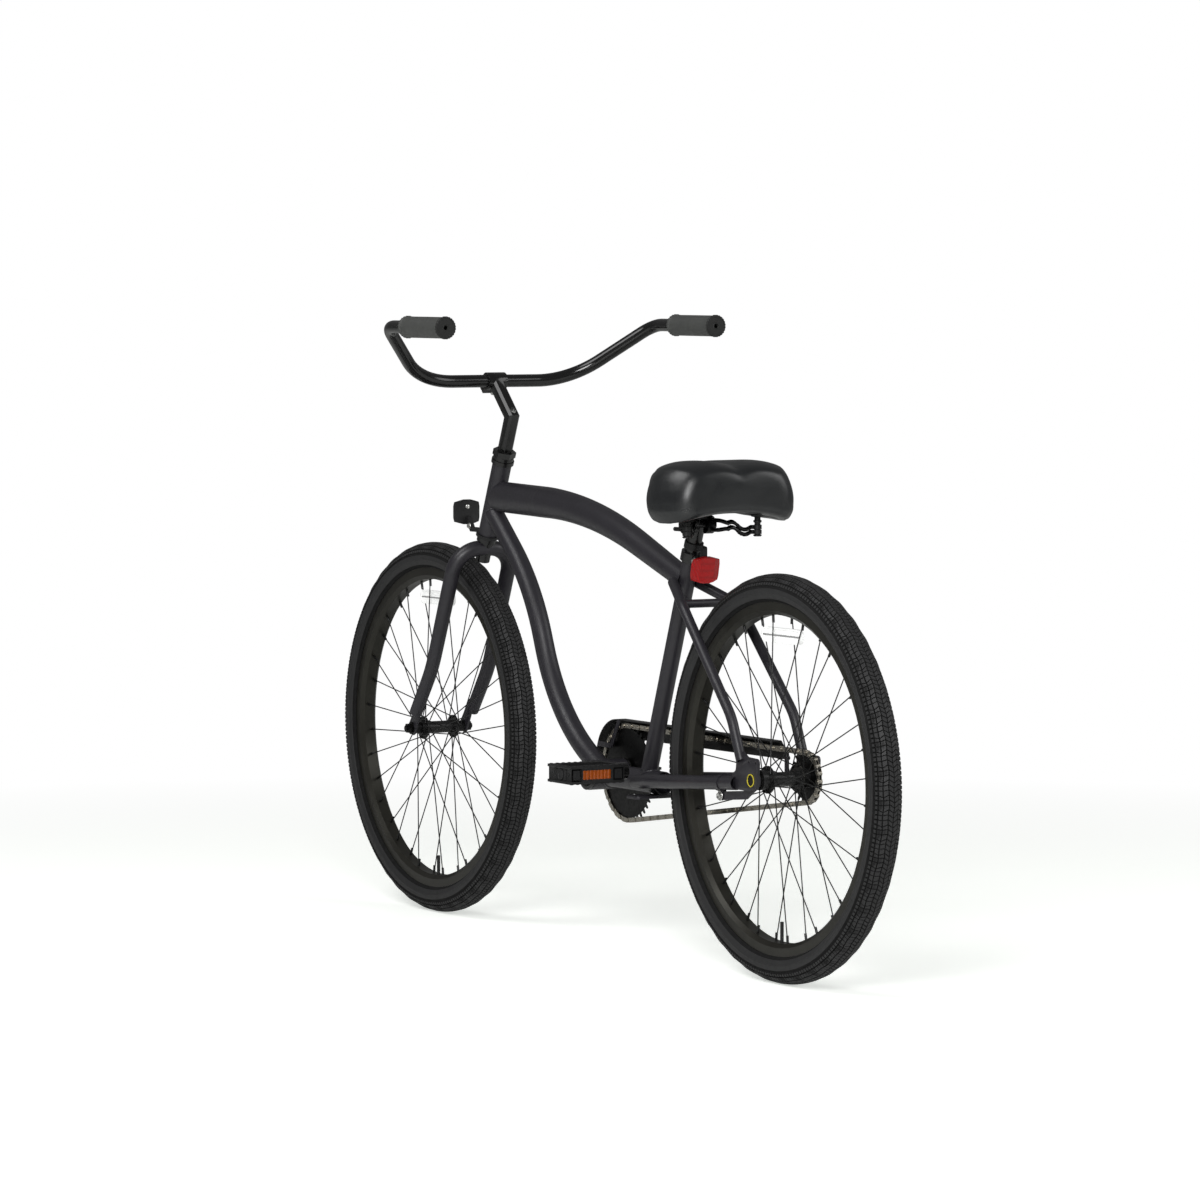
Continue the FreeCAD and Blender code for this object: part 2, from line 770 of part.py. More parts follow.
def front_hub():
    out = "front_flange_offset + flange_thickness / 2"
    near = "front_flange_offset - flange_thickness / 2"
    left = [("front_barrel_radius", near), ("front_flange_radius", near),
            ("front_flange_radius", out), ("front_hub_end_radius", out),
            ("front_hub_end_radius", "front_hub_half"), ("front_hub_bore", "front_hub_half")]
    right = [(radius, "- " + along.replace("-", "#").replace("+", "-").replace("#", "+"))
             for radius, along in reversed(left)]
    node("front_hub_shell", turned("front_hub_shell", left + right, FRONT))
    half = size("front_lock_half + fork_end_thickness + front_washer_thickness + front_nut_height"
                " + axle_end_length")
    axle = cylinder("front_axle", "front_axle_radius",
                    "front_lock_half * 2 + fork_end_thickness * 2 + front_washer_thickness * 2"
                    " + front_nut_height * 2 + axle_end_length * 2", FRONT - LEFT * half, LEFT)
    items = [axle]
    for side, name in ((LEFT, "left"), (-LEFT, "right")):
        items.append(sleeve("front_cone_" + name, "front_axle_radius + press_gap", "front_cone_radius",
                            "front_hub_half + open_gap", "front_lock_half", FRONT, side))
        items.append(ring_of_balls("front_balls_" + name,
                                   "front_axle_radius / 2 + front_hub_bore / 2", "hub_ball_radius",
                                   FRONT + side * S.front_flange_offset, LEFT))
        outside = S.front_lock_half + S.fork_end_thickness
        items.append(sleeve("front_washer_" + name, "front_axle_radius + press_gap",
                            "front_washer_radius", "0", "front_washer_thickness",
                            FRONT + side * outside, side))
        items.append(hexagon("front_nut_" + name, "front_nut_radius",
                             "front_axle_radius + press_gap", "front_nut_height",
                             FRONT + side * (outside + S.front_washer_thickness), side))
    node("front_axle_set", group("front_axle_set", *items))


def rear_hub():
    out = "rear_flange_offset + flange_thickness / 2"
    near = "rear_flange_offset - flange_thickness / 2"
    less_out = "- rear_flange_offset - flange_thickness / 2"
    less_near = "- rear_flange_offset + flange_thickness / 2"
    corners = [("rear_hub_bore", "- rear_hub_right"), ("rear_hub_right_radius", "- rear_hub_right"),
               ("rear_hub_right_radius", less_out), ("rear_flange_radius", less_out),
               ("rear_flange_radius", less_near), ("rear_barrel_radius", less_near),
               ("rear_barrel_radius", near), ("rear_flange_radius", near),
               ("rear_flange_radius", out), ("rear_hub_left_radius", out),
               ("rear_hub_left_radius", "rear_hub_left"), ("rear_hub_bore", "rear_hub_left")]
    node("rear_hub_shell", turned("rear_hub_shell", corners, REAR))
    half = S.rear_lock_half + S.dropout_thickness - S.open_gap
    axle = cylinder("rear_axle", "rear_axle_radius",
                    "rear_lock_half * 2 + dropout_thickness * 2 - open_gap * 2",
                    REAR - LEFT * half, LEFT)
    bore = "rear_axle_radius + press_gap"
    items = [axle]
    items.append(sleeve("brake_side_cone", bore, "rear_cone_radius", "rear_hub_left + open_gap",
                        "rear_lock_half - brake_arm_thickness - open_gap", REAR))
    items.append(sleeve("driver_side_cone", bore, "rear_cone_radius",
                        "rear_hub_right + open_gap * 2 + driver_width", "rear_lock_half",
                        REAR, -LEFT))
    for side, name in ((LEFT, "left"), (-LEFT, "right")):
        items.append(ring_of_balls("rear_balls_" + name, "rear_axle_radius / 2 + rear_hub_bore / 2",
                                   "hub_ball_radius", REAR + side * S.rear_flange_offset, LEFT))
        items.append(sleeve("rear_nut_" + name, bore, "rear_nut_radius", "rear_lock_half",
                            "rear_lock_half + dropout_thickness - open_gap", REAR, side))
    node("rear_axle_set", group("rear_axle_set", *items))
    driver = [("rear_axle_radius + running_gap", "0"), ("driver_shoulder_radius", "0"),
              ("driver_shoulder_radius",
               "chain_line - sprocket_thickness / 2 - rear_hub_right - open_gap"),
              ("driver_radius", "chain_line - sprocket_thickness / 2 - rear_hub_right - open_gap"),
              ("driver_radius", "driver_width"), ("rear_axle_radius + running_gap", "driver_width")]
    node("rear_driver", turned("rear_driver", driver,
                               REAR - LEFT * (S.rear_hub_right + S.open_gap), -LEFT))
    shoes = []
    for side in (1, -1):
        outer = S.rear_hub_bore - S.open_gap
        start = REAR - LEFT * S.brake_shoe_length / 2
        hoop = rod(start, start + LEFT * S.brake_shoe_length, outer)
        hoop = hoop.cut(rod(start, start + LEFT * S.brake_shoe_length, outer - S.brake_shoe_wall))
        half_space = Part.makeBox(outer * 2, S.brake_shoe_length, outer,
                                  start - AHEAD * outer + UP * S.open_gap)
        shoe = hoop.common(half_space)
        shoe.rotate(REAR, LEFT, 0 if side == 1 else 180)
        shoes.append(shoe)
    node("brake_shoes", Part.makeCompound(shoes))


# Chain drive
def toothed_wheel(teeth, pitch_radius, bore, phase, centre):
    """A flat sprocket with straight-sided teeth that clear the rollers."""
    root = pitch_radius - S.roller_radius - S.open_gap
    tip = pitch_radius + S.tooth_rise
    half = S.chain_pitch / 2 - S.roller_radius - S.open_gap
    flank = [(root, half), (pitch_radius, half), (tip, S.tooth_tip_half)]
    profile = [(radius, -across) for radius, across in flank]
    profile += [(radius, across) for radius, across in reversed(flank)]
    side = centre - LEFT * (S.chain_line + S.sprocket_thickness / 2)
    points = []
    for tooth in range(int(teeth)):
        angle = phase + 2 * math.pi * (tooth + 0.5) / teeth
        out = Vector(math.cos(angle), 0, math.sin(angle))
        over = Vector(-math.sin(angle), 0, math.cos(angle))
        points += [side + out * radius + over * across for radius, across in profile]
    disc = Part.Face(Part.makePolygon(points + points[:1])).extrude(LEFT * S.sprocket_thickness)
    return disc.cut(rod(side - LEFT * S.overrun, side + LEFT * S.overrun, bore))


def chain_line_points():
    """Pin places of the closed chain, and the angle of its first pin on each toothed wheel."""
    across = REAR - BB
    distance = across.Length
    on = across.normalize()
    over = Vector(-on.z, 0, on.x)
    if over.z < 0:
        over = -over
    lean = math.asin((ring_pitch_radius - sprocket_pitch_radius) / distance)
    high = on * math.sin(lean) + over * math.cos(lean)
    low = on * math.sin(lean) - over * math.cos(lean)
    run = distance * math.cos(lean) / S.chain_pitch
    sprocket_step = 2 * math.pi / S.sprocket_teeth
    ring_step = 2 * math.pi / S.chainring_teeth
    sprocket_wrap = (math.pi - 2 * lean) / sprocket_step
    start_angle = math.atan2(high.z, high.x)
    low_angle = math.atan2(low.z, low.x)
    points = []
    sprocket_phase = None
    for pin in range(int(S.chain_links)):
        past = pin - run
        if past <= 0:
            spot = BB + high * ring_pitch_radius
            spot += (REAR + high * sprocket_pitch_radius - spot) * (pin / run)
        elif past <= sprocket_wrap:
            angle = start_angle + past * sprocket_step
            sprocket_phase = angle if sprocket_phase is None else sprocket_phase
            spot = REAR + Vector(math.cos(angle), 0, math.sin(angle)) * sprocket_pitch_radius
        elif past <= sprocket_wrap + run:
            spot = REAR + low * sprocket_pitch_radius
            spot += (BB + low * ring_pitch_radius - spot) * ((past - sprocket_wrap) / run)
        else:
            angle = low_angle + (past - sprocket_wrap - run) * ring_step
            spot = BB + Vector(math.cos(angle), 0, math.sin(angle)) * ring_pitch_radius
        points.append(spot - LEFT * S.chain_line)
    return points, start_angle, sprocket_phase


def chain(points):
    """Inner links with rollers and outer links with pins, in turn round the loop."""
    inner_face = S.roller_half_width
    inner_back = inner_face + S.link_plate
    outer_face = inner_back + S.link_side_gap
    outer_back = outer_face + S.link_plate
    pin_end = outer_back + S.pin_head
    ends = [Vector(-S.chain_pitch / 2, 0, 0), Vector(S.chain_pitch / 2, 0, 0)]

    def side_plates(face, back):
        made = []
        for side in (face, -back):
            push = LEFT * (back - face)
            shift = LEFT * side
            made.append(link_plate(ends[0] + shift, ends[1] + shift, S.link_plate_radius,
                                   S.link_plate_radius, push))
        return made

    inner = side_plates(inner_face, inner_back)
    inner += [rod(end - LEFT * inner_face, end + LEFT * inner_face, S.roller_radius) for end in ends]
    inner = inner[0].multiFuse(inner[1:])
    for end in ends:
        bore = S.pin_radius + S.weld_gap * 2
        inner = inner.cut(rod(end - LEFT * inner_back, end + LEFT * inner_back, bore))
    outer = side_plates(outer_face, outer_back)
    outer += [rod(end - LEFT * pin_end, end + LEFT * pin_end, S.pin_radius) for end in ends]
    outer = outer[0].multiFuse(outer[1:])
    made = []
    for i, start in enumerate(points):
        end = points[(i + 1) % len(points)]
        link = single(inner if i % 2 else outer).copy()
        heading = math.degrees(math.atan2(end.z - start.z, end.x - start.x))
        turn = FreeCAD.Rotation(LEFT, -heading)
        link.Placement = FreeCAD.Placement((start + end) / 2, turn)
        made.append(link)
    return Part.makeCompound(made)


def chain_drive():
    points, ring_phase, sprocket_phase = chain_line_points()
    node("chain", chain(points))
    ring = toothed_wheel(S.chainring_teeth, ring_pitch_radius, S.crank_bar_radius + S.press_gap,
                         ring_phase, BB)
    side = LEFT * S.overrun
    middle = BB - LEFT * S.chain_line
    hole_angle = math.radians(S.chainring_hole_angle)
    hole = middle + Vector(math.cos(hole_angle), 0, math.sin(hole_angle)) * S.chainring_hole_offset
    pin = middle + CRANK_OUT * S.chainring_hole_offset
    ring = ring.cut(rod(hole - side, hole + side, S.chainring_hole_radius))
    ring = ring.cut(rod(pin - side, pin + side, S.drive_pin_radius + S.weld_gap))
    node("chainring", single(ring))
    node("rear_sprocket", single(toothed_wheel(S.sprocket_teeth, sprocket_pitch_radius,
                                               S.driver_radius + S.press_gap, sprocket_phase, REAR)))


# Crank and pedals
def crank():
    far = LEFT * S.crank_offset
    reach = CRANK_OUT * S.crank_length
    points = [BB - reach + far, BB + far, BB - far, BB + reach - far]
    shape = bar(rounded(points, [S.crank_bend_radius] * 2), S.crank_bar_radius)
    side = LEFT * S.crank_bar_radius
    for eye in (points[0], points[3]):
        shape = shape.fuse(rod(eye - side, eye + side, S.crank_eye_radius))
    for eye in (points[0], points[3]):
        reach_over = side + LEFT * S.overrun
        shape = shape.cut(rod(eye - reach_over, eye + reach_over, S.pedal_thread_radius + S.press_gap))
    pin = BB + CRANK_OUT * S.chainring_hole_offset
    start = S.chain_line - S.sprocket_thickness / 2
    shape = shape.fuse(rod(pin - LEFT * start, pin - far, S.drive_pin_radius))
    node("crank", single(shape))


def bottom_bracket():
    half = S.bb_shell_width / 2
    shell = sleeve("bb_shell_tube", "bb_shell_bore", "bb_shell_radius", "- bb_shell_width / 2",
                   "bb_shell_width / 2", BB)
    node("bb_shell", shell)
    press = "bb_shell_bore - press_gap"
    cup = [("bb_cup_bore", "- bb_cup_depth"), (press, "- bb_cup_depth"), (press, "0"),
           ("bb_cup_radius", "0"), ("bb_cup_radius", "bb_cup_lip"), ("bb_cup_bore", "bb_cup_lip")]
    bore = "crank_bar_radius + press_gap"
    cone = [(bore, "- crank_cone_depth"), ("crank_cone_radius", "- crank_cone_depth"),
            ("crank_cone_radius", "bb_cup_lip + open_gap"),
            ("crank_cap_radius", "bb_cup_lip + open_gap"),
            ("crank_cap_radius", "bb_cup_lip + open_gap + crank_cap_width"),
            (bore, "bb_cup_lip + open_gap + crank_cap_width")]
    cups = []
    races = []
    for side, name in ((LEFT, "left"), (-LEFT, "right")):
        end = BB + side * half
        cups.append(turned("bb_cup_" + name, cup, end, side))
        races.append(turned("crank_cone_" + name, cone, end, side))
        races.append(ring_of_balls("bb_balls_" + name, "crank_cone_radius / 2 + bb_cup_bore / 2",
                                   "bb_ball_radius", end - side * S.bb_cup_lip, LEFT))
    outside = half + S.bb_cup_lip + S.open_gap + S.crank_cap_width
    races.append(hexagon("crank_nut", "crank_nut_radius", bore, "crank_nut_width",
                         BB + LEFT * outside, LEFT))
    node("bottom_bracket_cups", group("bottom_bracket_cups", *cups))
    node("crank_bearings", group("crank_bearings", *races))


def pedals():
    """Spindles on the crank, and a block pedal with two amber reflectors on each."""
    spindles = []
    for side, name in ((1, "left"), (-1, "right")):
        out = LEFT * side
        eye = BB + LEFT * side * S.crank_offset - CRANK_OUT * side * S.crank_length
        inside = eye - out * S.crank_bar_radius
        face = eye + out * S.crank_bar_radius
        thread = cylinder("pedal_thread_" + name, "pedal_thread_radius", "crank_bar_radius * 2",
                          inside, out)
        collar = cylinder("pedal_collar_" + name, "pedal_collar_radius", "pedal_collar_width",
                          face, out)
        stub = cylinder("pedal_shaft_" + name, "pedal_shaft_radius",
                        "pedal_collar_width + pedal_width - pedal_end_wall / 2", face, out)
        spindles.append(fuse("pedal_spindle_" + name, thread, collar, stub))
        start = face + out * (S.pedal_collar_width + S.open_gap)
        turn = FreeCAD.Rotation(UP, 0 if side == 1 else 180)
        place = FreeCAD.Placement(start, turn)
        body, reflectors = pedal_shapes()
        for part, suffix in ((body, "_pedal"), (reflectors, "_pedal_reflectors")):
            item = node(name + suffix, part)
            item.Placement = place
    node("pedal_spindles", group("pedal_spindles", *spindles))


def pedal_shapes():
    """One pedal along +Y from its inner end, with the spindle on the Y axis."""
    half = S.pedal_length / 2
    low = -S.pedal_height / 2
    deep = Vector(0, S.pedal_width, 0)
    parts = [rod(Vector(), deep, S.pedal_barrel_radius)]
    for left in (-half, half - S.pedal_blade):
        parts.append(Part.makeBox(S.pedal_blade, S.pedal_width, S.pedal_height, Vector(left, 0, low)))
    for along in (0, S.pedal_width - S.pedal_end_wall):
        parts.append(Part.makeBox(S.pedal_length, S.pedal_end_wall, S.pedal_height,
                                  Vector(-half, along, low)))
    body = parts[0].multiFuse(parts[1:])
    hole_end = Vector(0, S.pedal_width - S.pedal_end_wall / 2 + S.open_gap, 0)
    body = body.cut(rod(Vector(), hole_end, S.pedal_shaft_radius + S.running_gap))
    start = (S.pedal_width - S.pedal_reflector_width) / 2
    made = []
    for left in (-half, half - S.pedal_reflector_depth):
        corner = Vector(left, start, -S.pedal_reflector_height / 2)
        tile = Part.makeBox(S.pedal_reflector_depth, S.pedal_reflector_width,
                            S.pedal_reflector_height, corner)
        made.append(tile)
        pocket = Part.makeBox(S.pedal_reflector_depth + S.press_gap,
                              S.pedal_reflector_width + S.press_gap * 2,
                              S.pedal_reflector_height + S.press_gap * 2,
                              corner - LEFT * S.press_gap - UP * S.press_gap
                              - (AHEAD * S.press_gap if left > 0 else Vector()))
        body = body.cut(pocket)
    return single(body.removeSplitter()), Part.makeCompound(made)


# Frame
def head_outer(gap):
    return rod(on_head(head_low - S.overrun), on_head(head_top + S.overrun), S.head_tube_radius + gap)


def top_tube_bar(grow):
    """The top tube is flattened to the head tube's width, fills out, then tapers to the seat tube."""
    start = on_head(head_top - S.top_tube_drop)
    bend = start - AHEAD * S.top_tube_bend_run - UP * S.top_tube_bend_drop
    end = on_seat(seat_top - S.top_tube_seat_drop)
    edges = rounded([start, bend, end], [S.top_tube_bend_radius])
    heading = edges[0].tangentAt(edges[0].FirstParameter)
    over = heading.cross(LEFT)
    radius = S.top_tube_radius + grow
    mouth = Part.Ellipse(start + over * radius, start + LEFT * (S.head_tube_radius + grow), start)
    joint = edges[0].valueAt(edges[0].LastParameter)
    ring = Part.Circle(joint + over * radius, joint + LEFT * radius, joint - over * radius)
    full = Part.makeLoft([Part.Wire(mouth.toShape()), Part.Wire(ring.toShape())], True, True)
    taper = bar(edges[1:], radius, S.top_tube_end_radius + grow)
    return full.fuse(taper)


def down_tube_bar(grow):
    start = on_head(head_low + S.down_tube_rise)
    bend = start - AHEAD * S.down_tube_bend_run - UP * S.down_tube_bend_drop
    foot = BB + AHEAD * S.down_tube_foot_run + UP * S.down_tube_foot_rise
    edges = rounded([start, bend, foot, BB], [S.down_tube_upper_bend, S.down_tube_lower_bend])
    return bar(edges, S.down_tube_radius + grow, S.down_tube_foot_radius + grow)


def seat_outer(gap):
    return rod(SEAT_BASE, on_seat(seat_top + S.overrun), S.seat_tube_radius + gap)


def bb_outer(gap):
    half = LEFT * (S.bb_shell_width / 2 + S.overrun)
    return rod(BB - half, BB + half, S.bb_shell_radius + gap)


def bottom_outer(grow):
    return rod(BB, BB - AHEAD * S.bottom_tube_length, S.bottom_tube_radius + grow)


def chainstay_bar(side, grow):
    """A chainstay with its blunt front end beside the bottom tube."""
    front = BB + Vector(-S.chainstay_front_run, S.chainstay_front_spread * side, 0)
    knee = from_rear(S.chainstay_knee_run, S.chainstay_knee_spread * side, -S.chainstay_knee_drop)
    end = from_rear(S.chainstay_end_run, dropout_mid * side, -S.chainstay_end_drop)
    edges = rounded([front, knee, end], [S.chainstay_knee_bend])
    return bar(edges, S.chainstay_radius + grow), front


def stay_points(side):
    return [on_seat(seat_top - S.stay_top_drop, S.stay_top_ahead, S.stay_top_spread * side),
            from_rear(S.stay_bend_run, S.stay_bend_spread * side, S.stay_bend_rise),
            from_rear(S.stay_foot_run, S.stay_foot_spread * side, S.stay_foot_rise),
            from_rear(S.stay_end_run, S.stay_foot_spread * side, S.stay_end_rise)]


def stay_bar(side, grow):
    points = stay_points(side)
    edges = rounded(points, [S.stay_bend_radius, S.stay_foot_radius])
    return bar(edges, S.stay_radius + grow), points[0]


def dropout(side):
    """A plate round the axle, with two threaded eyelets above it."""
    inner = S.rear_lock_half if side == 1 else -S.rear_lock_half - S.dropout_thickness
    points = [from_rear(ahead * S.dropout_length, inner, up * S.dropout_height)
              for ahead, up in DROPOUT_SHARES]
    shape = plate(points, [S.dropout_corner] * len(points), LEFT * S.dropout_thickness)
    through = LEFT * (S.dropout_thickness + S.overrun * 2)
    holes = [(0, 0, S.dropout_hole_radius), (S.eyelet_ahead, S.eyelet_rise, S.eyelet_radius),
             (S.eyelet_ahead - S.eyelet_spacing, S.eyelet_rise, S.eyelet_radius)]
    for ahead, up, radius in holes:
        start = from_rear(ahead, inner - S.overrun, up)
        shape = shape.cut(rod(start, start + through, radius))
    return shape


def frame():
    gap = S.weld_gap
    node("head_tube", sleeve("head_tube", "head_tube_bore", "head_tube_radius", "0",
                             "head_tube_length", on_head(head_low), HEAD_UP))
    top = top_tube_bar(0).cut(top_tube_bar(-S.tube_wall))
    node("top_tube", single(top.cut(head_outer(gap)).cut(seat_outer(gap))))
    down = down_tube_bar(0).cut(down_tube_bar(-S.tube_wall))
    down = down.cut(head_outer(gap)).cut(top_tube_bar(gap)).cut(bb_outer(gap))
    node("down_tube", single(down))
    bottom = bottom_outer(0).cut(bottom_outer(-S.tube_wall))
    node("bottom_tube", single(bottom.cut(bb_outer(gap))))
    seat_bore = S.seat_tube_radius - S.tube_wall
    seat = rod(SEAT_BASE, on_seat(seat_top), S.seat_tube_radius)
    seat = seat.cut(rod(SEAT_BASE - SEAT_UP * S.overrun, on_seat(seat_top + S.overrun), seat_bore))
    node("seat_tube", single(seat.cut(bottom_outer(gap))))
    dropouts = [dropout(1), dropout(-1)]
    node("rear_dropouts", Part.makeCompound(dropouts))
    chainstays = []
    stays = []
    for side, end_plate in zip((1, -1), dropouts):
        outer, front = chainstay_bar(side, 0)
        tube = outer.fuse(Part.makeSphere(S.chainstay_radius, front))
        tube = tube.cut(chainstay_bar(side, -S.tube_wall)[0]).cut(bottom_outer(gap))
        chainstays.append(single(tube.cut(end_plate)))
        outer, top_end = stay_bar(side, 0)
        tube = outer.fuse(Part.makeSphere(S.stay_radius, top_end))
        tube = tube.cut(stay_bar(side, -S.tube_wall)[0]).cut(seat_outer(gap))
        tube = tube.cut(top_tube_bar(gap)).cut(end_plate)
        stays.append(single(tube))
    node("chainstays", Part.makeCompound(chainstays))
    ends = []
    for side in (1, -1):
        points = stay_points(side)
        ends.append(points[0] + (points[1] - points[0]) * BRIDGE_SHARE)
    bridge = rod(ends[0], ends[1], S.bridge_radius)
    bridge = bridge.cut(rod(ends[0], ends[1], S.bridge_radius - S.tube_wall))
    for side in (1, -1):
        bridge = bridge.cut(stay_bar(side, gap)[0])
    node("seat_stays", Part.makeCompound(stays + [single(bridge)]))
    kickstand_plate()
    seat_clamp()


# Share of the way along the upper stays where the bridge sits


def kickstand_plate():
    """A plate across the frame under the bottom tube, with a bolt hole and its weld block."""
    top = BB.z - S.bottom_tube_radius - S.weld_gap
    low = top - S.kickstand_plate_thickness
    middle = BB.x - S.kickstand_plate_run
    half = S.kickstand_plate_width / 2
    back = S.kickstand_plate_length / 2
    corners = [Vector(middle + back * ahead, half * left, low)
               for ahead, left in ((1, 1), (-1, 1), (-1, -1), (1, -1))]
    shape = plate(corners, [S.kickstand_plate_corner] * 4, UP * S.kickstand_plate_thickness)
    start = Vector(middle, 0, low - S.overrun)
    end = start + UP * (S.kickstand_plate_thickness + S.overrun * 2)
    shape = shape.cut(rod(start, end, S.kickstand_hole_radius))
    node("kickstand_plate", shape)


def seat_clamp():
    """A split collar round the top of the seat tube, pinched by a bolt behind it."""
    low = on_seat(seat_top - S.collar_height)
    top = on_seat(seat_top)
    hoop = rod(low, top, S.collar_radius)
    bore = S.seat_tube_radius + S.press_gap
    turn = FreeCAD.Placement(low, FreeCAD.Rotation(AHEAD, SEAT_OUT))
    deep = S.collar_radius + S.collar_ear
    ear = Part.makeBox(deep, S.collar_ear_half * 2, S.collar_height,
                       Vector(-deep, -S.collar_ear_half, 0))
    slit = Part.makeBox(deep + S.overrun, S.collar_slit, S.collar_height + S.overrun * 2,
                        Vector(-deep - S.overrun, -S.collar_slit / 2, -S.overrun))
    centre = Vector(-S.collar_radius - S.collar_ear / 2, 0, S.collar_height / 2)
    across = LEFT * (S.collar_ear_half + S.overrun)
    hole = rod(centre - across, centre + across, S.collar_bolt_radius + S.weld_gap)
    for item in (ear, slit, hole):
        item.Placement = turn.multiply(item.Placement)
    collar = hoop.fuse(ear).cut(rod(low - SEAT_UP * S.overrun, top + SEAT_UP * S.overrun, bore))
    collar = single(collar.cut(slit).cut(hole))
    reach = LEFT * S.collar_ear_half
    head = LEFT * S.collar_bolt_head
    bolt = rod(centre - reach, centre + reach, S.collar_bolt_radius)
    bolt = bolt.fuse(rod(centre + reach, centre + reach + head, S.collar_bolt_head))
    bolt = bolt.fuse(rod(centre - reach - head, centre - reach, S.collar_bolt_head))
    bolt.Placement = turn.multiply(bolt.Placement)
    node("seat_clamp", Part.makeCompound([collar, single(bolt)]))


def brake_arm():
    """The coaster brake's arm, from the hub to a strap round the left chainstay."""
    inner = S.rear_lock_half - S.brake_arm_thickness - S.weld_gap
    push = LEFT * S.brake_arm_thickness
    hub = from_rear(0, inner, 0)
    knee = from_rear(S.brake_arm_knee, inner, -S.brake_arm_knee)
    tip = from_rear(S.brake_arm_reach, inner, -S.brake_arm_drop)
    arm = rod(hub, hub + push, S.brake_arm_eye_radius)
    arm = arm.fuse(link_plate(hub, knee, S.brake_arm_eye_radius, S.brake_arm_half_width, push))
    arm = arm.fuse(link_plate(knee, tip, S.brake_arm_half_width, S.brake_arm_half_width, push))
    through = LEFT * S.overrun
    arm = arm.cut(rod(hub - through, hub + push + through, S.rear_axle_radius + S.press_gap))
    arm = arm.cut(rod(tip - through, tip + push + through, S.brake_bolt_radius + S.weld_gap))
    half = AHEAD * S.brake_clip_width / 2
    stay = chainstay_bar(1, 0)[0]
    slice_low = from_rear(S.brake_arm_reach, 0, -S.brake_arm_drop)
    around = chainstay_bar(1, S.brake_clip_thickness)[0]
    box_size = S.rear_lock_half * 2
    window = Part.makeBox(S.brake_clip_width, box_size, box_size, slice_low - half)
    strap = around.common(window).cut(chainstay_bar(1, S.press_gap)[0])
    faces = [tip.y - S.weld_gap - S.brake_clip_thickness,
             tip.y + S.brake_arm_thickness + S.weld_gap]
    for left in faces:
        tall = S.brake_arm_drop - S.chainstay_end_drop
        low = S.brake_arm_drop + S.brake_arm_half_width
        tab = Part.makeBox(S.brake_clip_width, S.brake_clip_thickness, tall,
                           Vector(tip.x - S.brake_clip_width / 2, left, REAR.z - low))
        strap = strap.fuse(tab.cut(chainstay_bar(1, S.press_gap)[0]))
    bolt_hole = rod(tip - through * 2, tip + push + through * 2, S.brake_bolt_radius + S.weld_gap)
    strap = single(strap.cut(bolt_hole))
    ends = [tip + LEFT * (faces[0] - tip.y), tip + LEFT * (faces[1] + S.brake_clip_thickness - tip.y)]
    head = LEFT * S.brake_bolt_head_height
    bolt = rod(ends[0], ends[1], S.brake_bolt_radius)
    bolt = bolt.fuse(rod(ends[1], ends[1] + head, S.brake_bolt_head_radius))
    bolt = bolt.fuse(rod(ends[0] - head, ends[0], S.brake_bolt_head_radius))
    node("brake_arm", Part.makeCompound([single(arm.removeSplitter()), strap, single(bolt)]))
    return stay


def guard_block(inset):
    """The guard's side outline as a block; an inset leaves a wall at its top and nose only."""
    front = BB.x + S.guard_ahead - inset
    top = BB.z + S.guard_rise - inset
    open_end = S.overrun if inset else 0
    tail = REAR.x + S.guard_end_run - open_end
    left = -S.guard_outer
    waist = top - S.guard_waist_height - open_end
    soft = S.guard_thickness * 2
    points = [Vector(front, left, BB.z + S.guard_nose_rise - open_end), Vector(front, left, top),
              Vector(tail + S.guard_end_slant, left, top),
              Vector(tail, left, top - S.guard_end_height - open_end), Vector(BB.x, left, waist)]
    radii = [soft, S.guard_nose_radius - inset, soft, soft, soft]
    return plate(points, radii, LEFT * S.guard_depth)


def chain_guard():
    wall = S.guard_thickness
    inner = guard_block(wall)
    inner.translate(LEFT * wall)
    node("chain_guard", single(guard_block(0).cut(inner)))
    # Front bracket: three arms about a screw, and a rod to the down tube
    deep = -S.guard_outer + S.guard_depth
    push = LEFT * wall
    centre = Vector(BB.x + S.guard_bracket_ahead, deep - wall, BB.z + S.guard_bracket_rise)
    half = S.guard_bracket_half_width
    arms = [Vector(centre.x - S.guard_arm_back, centre.y, BB.z + S.guard_rise),
            Vector(BB.x + S.guard_ahead, centre.y, centre.z)]
    bracket = rod(centre, centre + push, half)
    for end in arms:
        bracket = bracket.fuse(link_plate(centre, end, half, half, push))
    bracket = bracket.common(guard_block(wall + S.weld_gap))
    root = centre - UP * S.guard_rod_drop
    leg = rod(Vector(root.x, 0, root.z), root + push, S.guard_rod_radius)
    bracket = single(bracket.fuse(leg).cut(down_tube_bar(S.weld_gap)))
    screw = rod(centre + push, centre + push + LEFT * S.guard_screw_height, S.guard_screw_radius)
    # Rear strap: down from the guard's tail to the right chainstay
    strap_start = Vector(REAR.x + S.guard_end_run + S.guard_strap_width / 2,
                         -S.guard_outer + wall + S.press_gap, BB.z)
    strap = Part.makeBox(S.guard_strap_width, wall, S.guard_rise - S.guard_end_height / 2, strap_start)
    strap = single(strap.cut(chainstay_bar(-1, S.weld_gap)[0]))
    strap_solids = sorted(strap.Solids, key=lambda solid: solid.CenterOfMass.z)
    node("chain_guard_brackets", Part.makeCompound([bracket, screw, strap_solids[-1]]))


